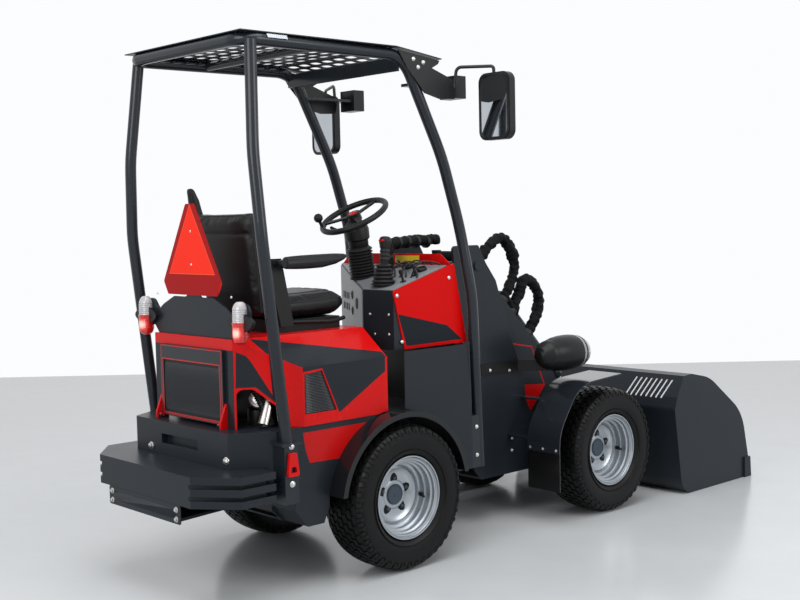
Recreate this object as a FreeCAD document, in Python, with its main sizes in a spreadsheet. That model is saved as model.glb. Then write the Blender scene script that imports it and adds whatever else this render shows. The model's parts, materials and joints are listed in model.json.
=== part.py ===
"""Compact articulated wheel loader, modelled as a parametric FreeCAD document (millimetres).

Machine axes: +X forward, +Y left, +Z up, floor at z = 0.  Lengths along X are counted from the
articulation pivot; every sub-part's Placement then shifts it by pivot_x, which puts the middle of the
whole machine at the origin.  Outlines of paired pieces are drawn for the right-hand side (y < 0), on
the sketch plane whose normal points outwards, and mirrored.
"""
import FreeCAD, Part
import math
import os
import Sketcher

Vector = FreeCAD.Vector
doc = FreeCAD.newDocument("WheelLoader")
sheet = doc.addObject("Spreadsheet::Sheet", "Dims")

DIMENSIONS = {
    # overall layout
    "pivot_x": (-95, "articulation pivot behind the machine's middle"),
    "wheel_base_half": (666, "axle to articulation pivot"),
    "gap": (0.3, "seating gap between pieces of one body"),
    "plate": (5, "sheet steel"),
    # tyres and rims
    "tyre_radius": (297, "loaded outer radius"),
    "tyre_width": (212, "widest section"),
    "tyre_wall": (14, "carcass thickness"),
    "rim_outer_y": (500, "outer flange of a rim from the middle plane"),
    "rim_width": (182, "over both flanges"),
    "flange_radius": (170, "rim flange"),
    "seat_radius": (152, "bead seat"),
    "well_radius": (126, "drop centre"),
    "rim_wall": (5, "rim metal"),
    "disc_inset": (97, "disc face inside the outer flange"),
    "disc_wall": (8, "wheel disc"),
    "hub_radius": (38, "hub cap"),
    "hub_height": (16, "hub cap above the disc"),
    # wheel motors
    "motor_radius": (72, "motor case"),
    "motor_flange": (95, "motor flange radius"),
    "motor_gap": (0.6, "motor face to wheel disc"),
    # rear chassis
    "rear_rail_y": (262, "outside of the rear rails"),
    "rail_wall": (12, "rail plate"),
    "chassis_rear_x": (-1180, "rear wall of the chassis"),
    "chassis_front_x": (-190, "front end of the rear rails"),
    "belly_z": (250, "underside"),
    "rail_top_z": (600, "top of the rails"),
    "tank_front_x": (-1012, "front of the side tanks"),
    "tank_top_z": (639.7, "top of the side tanks"),
    "tank_y": (415, "outside of the side tanks"),
    "ear_radius": (75, "hinge ears"),
    "ear_wall": (25, "hinge ear plate"),
    "ear_upper_z": (500, "underside of the upper ear"),
    "pin_radius": (25, "articulation pin"),
    "pin_play": (0.3, "radial play of the pins"),
    "deck_rear_x": (-430, "rear edge of the ear deck"),
    # steering cylinder
    "steer_rear_x": (-380, "barrel pin"),
    "steer_rear_y": (100, "barrel pin"),
    "steer_front_x": (90, "rod eye"),
    "steer_front_y": (130, "rod eye"),
    "steer_z": (410, "cylinder axis"),
    "steer_bore": (22, "barrel radius"),
    "steer_rod": (11, "rod radius"),
    "steer_retract": (95, "stroke left at rest"),
    # engine
    "engine_rear_x": (-1120, "block"),
    "engine_front_x": (-760, "block"),
    "engine_half": (190, "block half width"),
    "engine_top_z": (860, "block"),
    # hood
    "hood_rear_x": (-1350, "rear face"),
    "hood_rear_y": (275, "half width of the rear face"),
    "hood_corner_x": (-1130, "front end of the chamfered corners"),
    "hood_side_y": (420, "side plane"),
    "hood_front_x": (-700, "front face"),
    "hood_bottom_z": (640, "lower edge"),
    "hood_shoulder_z": (868, "top of the side plane"),
    "hood_top_z": (982, "top plane"),
    "hood_top_y": (272, "half width of the top plane"),
    "hood_wall": (4, "hood sheet"),
    # radiator door
    "door_half": (222, "half width"),
    "door_bottom_z": (652, "lower edge"),
    "door_top_z": (940, "upper edge"),
    "door_wall": (12, "frame depth"),
    "door_hinge_x": (-1370, "hinge pins"),
    "door_hinge_z": (652, "hinge pins"),
    "grille_half": (198, "half width of the grille"),
    "grille_bottom_z": (668, "grille"),
    "grille_top_z": (878, "grille"),
    # rear weights and hitch
    "weight_rear_x": (-1420, "rear face of the counterweight"),
    "weight_rear_y": (330, "half width of its rear face"),
    "weight_corner_x": (-1260, "front end of its chamfers"),
    "weight_side_y": (420, "half width"),
    "weight_bottom_z": (450, "underside"),
    "bumper_rear_x": (-1590, "rear face of the weights"),
    "bumper_rear_y": (330, "half width of the rear face"),
    "bumper_corner_x": (-1470, "front end of the corner chamfers"),
    "bumper_side_y": (480, "half width"),
    "bumper_front_x": (-1315, "front end of the bumper arms"),
    "bumper_bottom_z": (390, "underside"),
    "bumper_fin": (27, "thickness of one weight"),
    "bumper_pitch": (44, "spacing of the weights"),
    "bumper_inset": (34, "depth of the slots between the weights"),
    "hitch_rear_x": (-1600, "rearmost face"),
    "hitch_half": (260, "half width of the hitch plate"),
    "hitch_bottom_z": (318, "underside of the hitch plate"),
    "hitch_wall": (12, "hitch plate"),
    "hitch_bolt_y": (234, "bolt spacing, half"),
    "hitch_bolt_low_z": (335, "lower bolts"),
    "hitch_bolt_rise": (38, "upper bolts above the lower ones"),
    "hitch_bolt_radius": (6.5, "bolt hole"),
    # fenders
    "fender_radius": (350, "outside of a rear fender"),
    "fender_wall": (5, "fender sheet"),
    "fender_outer_y": (500, "outer edge of a rear fender"),
    "fender_low_z": (352, "ends of the rear fender arc"),
    "front_fender_y": (520, "outer edge of a front fender"),
    "front_fender_inner_y": (325, "inner edge"),
    "front_fender_rear_x": (248, "rear face"),
    "front_fender_low_z": (338, "lower edge"),
    "front_fender_top_z": (662, "top plane"),
    "front_fender_tip_x": (715, "front edge"),
    "flap_low_z": (160, "mud flap"),
    # floor and footwell
    "floor_rear_x": (-695, "floor plate"),
    "floor_front_x": (-226, "floor plate"),
    "floor_wall": (8, "floor plate"),
    "footwell_y": (420, "outside of the footwell"),
    "footwell_top_z": (880, "top of the footwell panels"),
    "footwell_rear_x": (-605, "rear edge of the footwell panels"),
    "bulkhead_x": (-246, "front face of the footwell bulkhead"),
    "skirt_low_z": (335, "lower edge of the skirt"),
    "skirt_front_x": (-215, "front edge of the skirt"),
    # console
    "console_front_x": (-270, "front wall"),
    "console_rear_x": (-600, "rear wall"),
    "console_y": (355, "half width"),
    "console_inner_y": (-165, "left end of the rear wall"),
    "console_wall": (4, "console sheet"),
    "console_rear_z": (1127, "top of the rear wall"),
    "console_front_z": (1221, "top at the front wall"),
    "cowl_top_z": (1268, "top of the red cowl"),
    "cowl_top_y": (300, "half width of its top edge"),
    # steering
    "column_foot_x": (-452, "foot of the column"),
    "wheel_hub_x": (-499, "steering wheel centre"),
    "wheel_hub_z": (1440, "steering wheel centre"),
    "wheel_tilt": (27.5, "steering wheel out of the level, degrees"),
    "wheel_ring": (148, "steering wheel ring"),
    "wheel_grip": (13, "grip radius"),
    "stick_x": (-545, "joystick"),
    "stick_y": (-235, "joystick"),
    # seat
    "seat_half": (222, "half width"),
    "seat_rear_x": (-1075, "rear of the cushion"),
    "seat_front_x": (-715, "front of the cushion"),
    "seat_slide_z": (1030, "top of the slides"),
    "seat_top_z": (1150, "top of the cushion"),
    "back_top_x": (-1228, "top of the backrest"),
    "back_top_z": (1480, "top of the backrest"),
    "back_wall": (92, "backrest thickness"),
    "arm_pivot_x": (-1100, "armrest pivot"),
    "arm_pivot_z": (1258, "armrest pivot"),
    "arm_length": (320, "armrest"),
    "arm_y": (270, "armrest middle"),
    "arm_width": (52, "armrest"),
    # roll-over frame
    "rops_tube": (24, "tube radius"),
    "rops_rear_x": (-1247, "rear foot"),
    "rops_side_y": (460, "rear feet"),
    "rops_top_z": (2092, "roof tubes"),
    "rops_end_x": (-1345, "rear cross tube"),
    "rops_roof_y": (394, "roof tubes at the rear"),
    "rops_front_x": (-150, "front foot"),
    "rops_front_y": (368, "roof tubes and front posts above the console"),
    "rops_foot_y": (400, "front feet"),
    "rops_front_low_z": (335, "front foot"),
    "roof_rear_x": (-1385, "roof plate"),
    "roof_bend_x": (-600, "bend of the roof plate"),
    "roof_front_x": (-347, "roof plate"),
    "roof_drop": (33, "fall of the front part"),
    "roof_half": (426, "roof plate half width"),
    "roof_wall": (4, "roof plate"),
    # lights, mirrors, signs
    "mirror_y": (557, "mirror middle"),
    "mirror_x": (-200, "mirror glass plane"),
    "mirror_low_z": (1745, "lower end"),
    "mirror_top_z": (2025, "upper end"),
    "mirror_width": (176, "width"),
    "work_lamp_x": (-240, "back of the work lights"),
    "lamp_y": (335, "tail lamps"),
    "lamp_radius": (35, "tail lamps"),
    # front chassis
    "tower_y": (202, "outside of the tower plates"),
    "tower_wall": (12, "tower plate"),
    "tower_top_z": (1296, "top of the tower"),
    "port_block_z": (1180, "top of the port block inside the tower"),
    "hose_radius": (22, "hose bundle"),
    "tongue_radius": (70, "hinge tongue"),
    "tongue_play": (8, "tongue to ears"),
    "cross_x": (150, "cross plate of the front chassis"),
    "front_belly_z": (206, "underside"),
    "front_nose_x": (830, "front end"),
    # boom and its linkage
    "boom_pivot_x": (60, "boom pivot"),
    "boom_pivot_z": (1200, "boom pivot"),
    "boom_pin": (20, "boom pin radius"),
    "boom_half": (120, "half width of the boom"),
    "boom_hose_y": (84, "hose loops on the boom"),
    "boom_wall": (10, "boom plate"),
    "coupler_pin_x": (1050, "tool pivot"),
    "coupler_pin_z": (190, "tool pivot"),
    "lift_base_x": (200, "lift barrel pin"),
    "lift_base_z": (400, "lift barrel pin"),
    "lift_eye_x": (218, "lift rod eye"),
    "lift_eye_z": (1047, "lift rod eye"),
    "lift_bore": (35, "barrel radius"),
    "lift_rod": (18, "rod radius"),
    "lift_retract": (5, "stroke left at rest"),
    "tilt_base_x": (420, "tilt barrel pin"),
    "tilt_base_z": (1035, "tilt barrel pin"),
    "tilt_eye_x": (1015, "tilt rod eye"),
    "tilt_eye_z": (430, "tilt rod eye"),
    "tilt_bore": (28, "barrel radius"),
    "tilt_rod": (15, "rod radius"),
    "tilt_retract": (80, "stroke left at rest"),
    "eye_half": (19, "half width of the rod eyes"),
    # bucket
    "bucket_half": (560, "half width"),
    "bucket_wall": (8, "bucket sheet"),
    "bucket_heel_x": (1160, "rear bottom corner"),
    "bucket_back_x": (1096, "back plate at its fold"),
    "bucket_back_z": (441, "back plate at its fold"),
    "bucket_top_x": (1246, "front end of the top edge"),
    "bucket_top_z": (608, "top edge"),
    "bucket_lip_x": (1790, "cutting edge"),
    "bucket_cheek_z": (112, "front end of the side plate"),
    "bucket_low_z": (1, "underside above the floor"),
    "edge_wall": (16, "cutting edge"),
    "bucket_slot_y": (236, "inner lower corner of the first sight slot"),
    "bucket_slot_pitch": (31, "spacing of the sight slots"),
    "bucket_slot_width": (14, "width of a sight slot"),
}

for row, (name, (value, note)) in enumerate(DIMENSIONS.items(), start=1):
    sheet.set(f"A{row}", name)
    sheet.set(f"B{row}", str(value))
    sheet.set(f"C{row}", note)
    sheet.setAlias(f"B{row}", name)
doc.recompute()


class Size:
    """A length with the spreadsheet expression that gives it, so that sums of sizes stay bound."""

    def __init__(self, value, text):
        self.value = float(value)
        self.text = text

    def __add__(self, other):
        other = as_size(other)
        return Size(self.value + other.value, f"({self.text} + {other.text})")

    def __sub__(self, other):
        other = as_size(other)
        return Size(self.value - other.value, f"({self.text} - {other.text})")

    def __mul__(self, other):
        other = as_size(other)
        return Size(self.value * other.value, f"({self.text} * {other.text})")

    def __truediv__(self, other):
        other = as_size(other)
        return Size(self.value / other.value, f"({self.text} / {other.text})")

    def __neg__(self):
        return Size(-self.value, f"(-1 * {self.text})")

    __radd__ = __add__
    __rmul__ = __mul__

    def __rsub__(self, other):
        return as_size(other) - self


def as_size(number):
    """Lets plain numbers take part in sums of sizes."""
    return number if isinstance(number, Size) else Size(number, repr(number))


def root(size):
    """Square root of a size product."""
    return Size(math.sqrt(size.value), f"sqrt({size.text})")


def distance(x1, z1, x2, z2):
    """Length between two points of a plane."""
    return root((x2 - x1) * (x2 - x1) + (z2 - z1) * (z2 - z1))


class Sizes:
    """Every spreadsheet alias as a Size attribute."""


D = Sizes()
for name in DIMENSIONS:
    setattr(D, name, Size(sheet.get(name), f"Dims.{name}"))

NODES = []


# ---------------------------------------------------------------- helpers

def finish(label, piece):
    """Registers an object as the sub-part called label."""
    piece.Label = label
    NODES.append(piece)
    return piece


def bind(piece, **sizes):
    """Binds properties (dots written as double underscores) to sheet expressions."""
    for path, size in sizes.items():
        piece.setExpression(path.replace("__", "."), as_size(size).text)


def place(piece, x=0, y=0, z=0):
    """Puts a piece at machine coordinates: x is counted from the pivot."""
    bind(piece, Placement__Base__x=D.pivot_x + x, Placement__Base__y=y, Placement__Base__z=z)
    return piece


def new_body(name, x=0, y=0, z=0):
    """A PartDesign body in the machine frame."""
    body = doc.addObject("PartDesign::Body", name)
    return place(body, x, y, z)


def new_sketch(body, plane, offset=0):
    """A sketch on one of the body's own origin planes, moved along the plane's normal."""
    sketch = body.newObject("Sketcher::SketchObject", "sketch")
    support = [feature for feature in body.Origin.OriginFeatures if feature.Role == plane][0]
    sketch.AttachmentSupport = [(support, "")]
    sketch.MapMode = "FlatFace"
    bind(sketch, AttachmentOffset__Base__z=offset)
    return sketch


def pin_point(sketch, geometry, end, point):
    """Ties one sketch point to its two sheet expressions."""
    for kind, size in zip(("DistanceX", "DistanceY"), point):
        index = sketch.addConstraint(Sketcher.Constraint(kind, geometry, end, size.value))
        sketch.setExpression(f"Constraints[{index}]", size.text)


def draw_outline(sketch, corners, rounds=None):
    """A closed outline through corners; rounds gives the radius of each rounded corner."""
    rounds = {index % len(corners): as_size(radius) for index, radius in (rounds or {}).items()}
    corners = [(as_size(a), as_size(b)) for a, b in corners]
    points = [Vector(a.value, b.value, 0) for a, b in corners]
    count = len(points)
    arrive = list(points)
    leave = list(points)
    arcs = {}
    for index, radius in rounds.items():
        back = (points[index - 1] - points[index]).normalize()
        ahead = (points[(index + 1) % count] - points[index]).normalize()
        half = back.getAngle(ahead) / 2
        reach = radius.value / math.tan(half)
        arrive[index] = points[index] + back * reach
        leave[index] = points[index] + ahead * reach
        centre = points[index] + (back + ahead).normalize() * (radius.value / math.sin(half))
        left_turn = back.cross(ahead).z < 0
        first, last = (arrive[index], leave[index]) if left_turn else (leave[index], arrive[index])
        start = math.atan2(first.y - centre.y, first.x - centre.x)
        end = math.atan2(last.y - centre.y, last.x - centre.x)
        circle = Part.Circle(centre, Vector(0, 0, 1), radius.value)
        arcs[index] = (Part.ArcOfCircle(circle, start, end), left_turn)
    base = sketch.GeometryCount
    for index in range(count):
        sketch.addGeometry(Part.LineSegment(leave[index], arrive[(index + 1) % count]), False)
    arc_at = {index: sketch.addGeometry(arc, False) for index, (arc, turn) in arcs.items()}
    for index in range(count):
        before = base + (index - 1) % count
        after = base + index
        if index not in rounds:
            sketch.addConstraint(Sketcher.Constraint("Coincident", before, 2, after, 1))
            pin_point(sketch, after, 1, corners[index])
            continue
        arc = arc_at[index]
        first, last = (1, 2) if arcs[index][1] else (2, 1)
        sketch.addConstraint(Sketcher.Constraint("Tangent", before, 2, arc, first))
        sketch.addConstraint(Sketcher.Constraint("Tangent", after, 1, arc, last))
        corner = sketch.addGeometry(Part.Point(points[index]), True)
        pin_point(sketch, corner, 1, corners[index])
        sketch.addConstraint(Sketcher.Constraint("PointOnObject", corner, 1, before))
        sketch.addConstraint(Sketcher.Constraint("PointOnObject", corner, 1, after))
        index_radius = sketch.addConstraint(Sketcher.Constraint("Radius", arc, rounds[index].value))
        sketch.setExpression(f"Constraints[{index_radius}]", rounds[index].text)
    return sketch


def draw_circle(sketch, a, b, radius):
    """A circle whose centre and radius are bound to the sheet."""
    a, b, radius = as_size(a), as_size(b), as_size(radius)
    circle = sketch.addGeometry(Part.Circle(Vector(a.value, b.value, 0), Vector(0, 0, 1), radius.value))
    pin_point(sketch, circle, 3, (a, b))
    index = sketch.addConstraint(Sketcher.Constraint("Radius", circle, radius.value))
    sketch.setExpression(f"Constraints[{index}]", radius.text)
    return sketch


def extrude(body, kind, sketch, length, symmetric=False, backwards=False):
    """A Pad or Pocket of the sketch."""
    feature = body.newObject(f"PartDesign::{kind}", kind.lower())
    feature.Profile = sketch
    if symmetric:
        feature.SideType = "Symmetric"
    feature.Reversed = backwards
    bind(feature, Length=length)
    return feature


def pad(body, plane, corners, length, offset=0, rounds=None, symmetric=False):
    """A padded outline."""
    sketch = draw_outline(new_sketch(body, plane, offset), corners, rounds)
    return extrude(body, "Pad", sketch, length, symmetric)


def twin_pads(body, corners, length, distance_out, rounds=None):
    """The same side-view outline padded outwards on both sides of the middle plane."""
    for offset in (distance_out, -distance_out - length):
        pad(body, "XZ_Plane", corners, length, offset=offset, rounds=rounds)


def twin_discs(body, a, b, radius, length, distance_out):
    """The same round boss on both sides of the middle plane, starting at distance_out."""
    for offset in (distance_out, -distance_out - length):
        disc(body, "XZ_Plane", a, b, radius, length, offset=offset)


def pocket(body, plane, corners, length, offset=0, rounds=None, symmetric=False, backwards=False):
    """A pocket of an outline; it cuts against the plane's normal unless told otherwise."""
    sketch = draw_outline(new_sketch(body, plane, offset), corners, rounds)
    return extrude(body, "Pocket", sketch, length, symmetric, backwards)


def disc(body, plane, a, b, radius, length, offset=0, symmetric=False):
    """A padded circle."""
    sketch = draw_circle(new_sketch(body, plane, offset), a, b, radius)
    return extrude(body, "Pad", sketch, length, symmetric)


def bore(body, plane, a, b, radius, length, offset=0, symmetric=False, backwards=False):
    """A round hole."""
    sketch = draw_circle(new_sketch(body, plane, offset), a, b, radius)
    return extrude(body, "Pocket", sketch, length, symmetric, backwards)


def turned(body, corners, rounds=None, plane="XY_Plane"):
    """A revolved outline: first coordinate the radius, second the place along the sketch's upright."""
    sketch = draw_outline(new_sketch(body, plane), corners, rounds)
    revolution = body.newObject("PartDesign::Revolution", "revolution")
    revolution.Profile = sketch
    revolution.ReferenceAxis = (sketch, ["V_Axis"])
    return revolution


def box(name, low, high):
    """A Part box between two machine points."""
    solid = doc.addObject("Part::Box", name)
    low = [as_size(value) for value in low]
    high = [as_size(value) for value in high]
    bind(solid, Length=high[0] - low[0], Width=high[1] - low[1], Height=high[2] - low[2])
    return place(solid, *low)


def fuse(name, pieces):
    """One solid made of several."""
    union = doc.addObject("Part::MultiFuse", name)
    union.Shapes = pieces
    return union


def mirror(piece):
    """The same piece on the other side of the middle plane."""
    twin = doc.addObject("Part::Mirroring", piece.Name + "_twin")
    twin.Source = piece
    twin.Normal = Vector(0, 1, 0)
    return twin


def pair(label, piece):
    """A right-hand piece and its mirror image as one sub-part."""
    both = doc.addObject("Part::Compound", label)
    both.Links = [piece, mirror(piece)]
    return finish(label, both)


def bent_path(points, radii):
    """A wire of straight runs joined by tangent arcs."""
    points = [Vector(*[as_size(value).value for value in point]) for point in points]
    edges = []
    start = points[0]
    for index in range(1, len(points) - 1):
        corner = points[index]
        back = (points[index - 1] - corner).normalize()
        ahead = (points[index + 1] - corner).normalize()
        half = back.getAngle(ahead) / 2
        reach = radii[index - 1] / math.tan(half)
        middle = corner + (back + ahead).normalize() * radii[index - 1] * (1 / math.sin(half) - 1)
        entry = corner + back * reach
        leave = corner + ahead * reach
        edges.append(Part.LineSegment(start, entry).toShape())
        edges.append(Part.Arc(entry, middle, leave).toShape())
        start = leave
    edges.append(Part.LineSegment(start, points[-1]).toShape())
    return Part.Wire(edges)


def tube(name, points, radius, radii):
    """A round bar along a bent path in space, for which a flat sketch path does not fit."""
    path = bent_path(points, radii)
    first = path.Edges[0]
    direction = first.tangentAt(first.FirstParameter)
    section = Part.Wire(Part.makeCircle(radius.value, first.valueAt(first.FirstParameter), direction))
    solid = path.makePipeShell([section], True, False)
    expected = math.pi * radius.value ** 2 * path.Length
    if abs(solid.Volume / expected - 1) > 0.01:
        raise ValueError(f"{name}: swept volume is off by {solid.Volume / expected - 1:.3f}")
    feature = doc.addObject("Part::Feature", name)
    feature.Shape = solid
    return place(feature)


# ---------------------------------------------------------------- wheels

def make_wheel(place_name, x, side):
    """A tyre and a dished rim, turned about the axle; side is +1 on the left, -1 on the right."""
    half = D.rim_width / 2
    middle_y = D.rim_outer_y - half
    face = half - D.disc_inset
    inner_seat = D.seat_radius - D.rim_wall
    inner_well = D.well_radius - D.rim_wall
    bead = half - 7
    cap_top = face + D.hub_height
    rim = new_body(f"rim_{place_name}", x, middle_y * side, D.tyre_radius)
    turned(rim, [
        (D.flange_radius, half), (D.flange_radius, half - D.rim_wall), (D.seat_radius, bead),
        (D.seat_radius, half * 0.5), (D.well_radius, half * 0.33),
        (D.well_radius, half * -0.33), (D.seat_radius, half * -0.5),
        (D.seat_radius, -bead), (D.flange_radius, D.rim_wall - half), (D.flange_radius, -half),
        (D.flange_radius - D.rim_wall, -half), (inner_seat, -bead - 2), (inner_seat, half * -0.53),
        (inner_well, half * -0.36), (inner_well, face - D.disc_wall),
        (as_size(0), face - D.disc_wall), (as_size(0), cap_top), (D.hub_radius - 4, cap_top),
        (D.hub_radius, cap_top - 5), (D.hub_radius, face), (inner_well, face),
        (inner_well, half * 0.36), (inner_seat, half * 0.53), (inner_seat, bead + 2),
        (D.flange_radius - D.rim_wall, half),
    ])
    bead_radius = D.seat_radius + D.gap
    bead_y = bead - 2
    bulge = D.tyre_width / 2
    shoulder = bulge - 20
    inner = D.tyre_radius - D.tyre_wall
    tyre = new_body(f"tyre_{place_name}", x, middle_y * side, D.tyre_radius)
    turned(tyre, [
        (bead_radius, bead_y), (D.flange_radius + 2, bead_y), (D.flange_radius + 8, bulge - 7),
        (D.tyre_radius - 72, bulge), (D.tyre_radius - 26, bulge - 1), (D.tyre_radius, shoulder),
        (D.tyre_radius, -shoulder), (D.tyre_radius - 26, 1 - bulge), (D.tyre_radius - 72, -bulge),
        (D.flange_radius + 8, 7 - bulge), (D.flange_radius + 2, -bead_y), (bead_radius, -bead_y),
        (bead_radius, D.tyre_wall - bead_y), (D.flange_radius + 12, D.tyre_wall + 5 - bulge),
        (inner - 10, D.tyre_wall - bulge + 3), (inner, D.tyre_wall - shoulder),
        (inner, shoulder - D.tyre_wall), (inner - 10, bulge - D.tyre_wall - 3),
        (D.flange_radius + 12, bulge - D.tyre_wall - 5), (bead_radius, bead_y - D.tyre_wall),
    ], {2: 10, 3: 60, 4: 16, 5: 16, 6: 16, 7: 16, 8: 60, 9: 10})
    if side < 0:
        for piece in (rim, tyre):
            piece.Placement.Rotation = FreeCAD.Rotation(Vector(0, 0, 1), 180)
    finish(f"rim_{place_name}", rim)
    finish(f"tyre_{place_name}", tyre)


def make_wheel_motors(label, x, inner_y):
    """A pair of hydraulic wheel motors bolted to the chassis plates; they carry the wheels."""
    disc_back = D.rim_outer_y - D.disc_inset - D.disc_wall
    end = disc_back - D.motor_gap
    start = inner_y + D.gap
    motor = new_body(label + "_right", x, 0, D.tyre_radius)
    turned(motor, [
        (as_size(0), -start), (D.motor_flange, -start), (D.motor_flange, -start - 18),
        (D.motor_radius, -start - 22), (D.motor_radius, 30 - end), (D.motor_radius - 16, 22 - end),
        (D.motor_radius - 16, -end), (as_size(0), -end),
    ])
    pair(label, motor)


make_wheel("front_left", D.wheel_base_half, 1)
make_wheel("front_right", D.wheel_base_half, -1)
make_wheel("rear_left", -D.wheel_base_half, 1)
make_wheel("rear_right", -D.wheel_base_half, -1)
make_wheel_motors("rear_wheel_motors", -D.wheel_base_half, D.rear_rail_y)
make_wheel_motors("front_wheel_motors", D.wheel_base_half, D.tower_y)


# ---------------------------------------------------------------- rear chassis

def make_rear_chassis():
    """A welded tub between the wheels, two side tanks behind them and the two hinge ears."""
    body = new_body("rear_chassis")
    rear, front, low, top = D.chassis_rear_x, D.chassis_front_x, D.belly_z, D.rail_top_z
    pad(body, "XZ_Plane",
        [(rear, low + 50), (rear + 50, low), (front, low), (front, top), (rear, top)],
        D.rear_rail_y * 2, symmetric=True)
    pad(body, "XZ_Plane",
        [(rear, low + 70), (rear + 60, low), (D.tank_front_x - 30, low), (D.tank_front_x, low + 60),
         (D.tank_front_x, D.tank_top_z), (rear, D.tank_top_z)],
        D.tank_y * 2, symmetric=True)
    pocket(body, "XZ_Plane",
           [(rear + D.rail_wall, low + D.rail_wall), (front + 50, low + D.rail_wall),
            (front + 50, D.tank_top_z + 50), (rear + D.rail_wall, D.tank_top_z + 50)],
           (D.rear_rail_y - D.rail_wall) * 2, symmetric=True)
    inner = D.rear_rail_y - D.rail_wall / 2
    for level in (low, D.ear_upper_z):
        pad(body, "XY_Plane",
            [(D.deck_rear_x, -inner), (front, -inner), (front, -D.ear_radius),
             (D.ear_radius, -D.ear_radius), (D.ear_radius, D.ear_radius),
             (front, D.ear_radius), (front, inner), (D.deck_rear_x, inner)],
            D.ear_wall, offset=level, rounds={3: D.ear_radius * 0.98, 4: D.ear_radius * 0.98})
    disc(body, "XY_Plane", 0, 0, D.pin_radius, D.ear_upper_z + D.ear_wall + 12 - low, offset=low)
    disc(body, "XY_Plane", D.steer_rear_x, D.steer_rear_y, D.steer_bore + 6,
         D.steer_z - D.eye_half - 1 - low, offset=low)
    disc(body, "XY_Plane", D.steer_rear_x, D.steer_rear_y, D.steer_rod,
         D.ear_upper_z - D.steer_z + 30, offset=D.steer_z - 30)
    return finish("rear_chassis", body)


def make_engine_block():
    """The diesel engine as one plain block on the chassis floor."""
    block = box("engine_block",
                (D.engine_rear_x, -D.engine_half, D.belly_z + D.rail_wall + D.gap),
                (D.engine_front_x, D.engine_half, D.engine_top_z))
    return finish("engine_block", block)


make_rear_chassis()
make_engine_block()


# ---------------------------------------------------------------- engine hood

def hood_solid(name, inset):
    """The hood's outer form moved inwards by inset: plan, cross-section and side view in common."""
    rear, front = D.hood_rear_x + inset, D.hood_front_x - inset
    side, rear_y = D.hood_side_y - inset, D.hood_rear_y - inset * 0.6
    low = D.hood_bottom_z - inset
    top = D.hood_top_z - inset
    shoulder = D.hood_shoulder_z - inset * 0.6
    plan = new_body(name + "_plan")
    pad(plan, "XY_Plane",
        [(rear, -rear_y), (D.hood_corner_x + inset * 0.3, -side), (front, -side),
         (front, side), (D.hood_corner_x + inset * 0.3, side), (rear, rear_y)],
        top - low, offset=low)
    across = new_body(name + "_across")
    pad(across, "YZ_Plane",
        [(-side, low), (side, low), (side, shoulder), (D.hood_top_y, top), (-D.hood_top_y, top),
         (-side, shoulder)],
        front - rear, offset=rear)
    along = new_body(name + "_along")
    pad(along, "XZ_Plane",
        [(rear, low), (front, low), (front, top), (rear, top)],
        side * 2, symmetric=True)
    form = doc.addObject("Part::MultiCommon", name)
    form.Shapes = [plan, across, along]
    return form


def make_hood():
    """A sheet hood over the engine, open below and at the rear door, with grille windows, an arched
    cut-out through each rear corner, wheel arches and the two brackets the door hinges on."""
    cut = doc.addObject("Part::Cut", "hood_shell")
    cut.Base = hood_solid("hood_outside", as_size(0))
    cut.Tool = hood_solid("hood_inside", D.hood_wall)
    bracket = new_body("hinge_bracket")
    face = D.door_half + D.gap
    pin_x, pin_z = D.door_hinge_x, D.door_hinge_z
    pad(bracket, "XZ_Plane",
        [(pin_x - 14, D.hood_bottom_z), (D.hood_rear_x + 2, D.hood_bottom_z), (D.hood_rear_x + 2, pin_z + 84),
         (D.hood_rear_x - 6, pin_z + 84), (pin_x - 14, pin_z + 14)], 10, offset=face)
    disc(bracket, "XZ_Plane", pin_x, pin_z, 5, 26, offset=face - 22)
    shell = fuse("hood_with_brackets", [cut, bracket, mirror(bracket)])
    windows = new_body("hood_windows")
    pad(windows, "XZ_Plane",
        [(D.hood_corner_x + 6, D.hood_shoulder_z - 28), (D.hood_corner_x + 4, D.hood_bottom_z + 46),
         (D.hood_corner_x + 162, D.hood_bottom_z + 46), (D.hood_corner_x + 92, D.hood_shoulder_z - 20)],
        D.hood_side_y * 2 + 20, symmetric=True)
    corner_holes = new_body("hood_corner_holes")
    pad(corner_holes, "XZ_Plane",
        [(D.hood_rear_x + 8, D.hood_bottom_z - 10), (D.hood_corner_x - 64, D.hood_bottom_z - 10),
         (D.hood_corner_x - 64, D.hood_bottom_z + 62), (D.hood_rear_x + 62, D.hood_bottom_z + 152),
         (D.hood_rear_x + 8, D.hood_bottom_z + 152)],
        D.hood_side_y * 2 + 20, symmetric=True, rounds={3: 30, 4: 24})
    door_hole = new_body("hood_door_hole")
    pad(door_hole, "YZ_Plane",
        [(28 - D.door_half, D.hood_bottom_z - 20), (D.door_half - 28, D.hood_bottom_z - 20),
         (D.door_half - 28, D.door_top_z - 20), (28 - D.door_half, D.door_top_z - 20)],
        D.hood_wall * 2 + 20, offset=D.hood_rear_x - 20)
    arches = new_body("hood_arches")
    disc(arches, "XZ_Plane", -D.wheel_base_half, D.tyre_radius, D.fender_radius + 4,
         D.hood_side_y * 2 + 20, symmetric=True)
    hood = doc.addObject("Part::Cut", "engine_hood")
    hood.Base = shell
    hood.Tool = fuse("hood_cuts", [windows, corner_holes, door_hole, arches])
    return finish("engine_hood", hood)


def make_side_grilles():
    """The mesh panel behind each hood window."""
    body = new_body("side_grille_right")
    pad(body, "XZ_Plane",
        [(D.hood_corner_x + 2, D.hood_shoulder_z - 22), (D.hood_corner_x + 2, D.hood_bottom_z + 38),
         (D.hood_corner_x + 174, D.hood_bottom_z + 38), (D.hood_corner_x + 96, D.hood_shoulder_z - 14)],
        3, offset=D.hood_side_y - D.hood_wall - D.gap - 3)
    pair("side_grilles", body)


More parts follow.
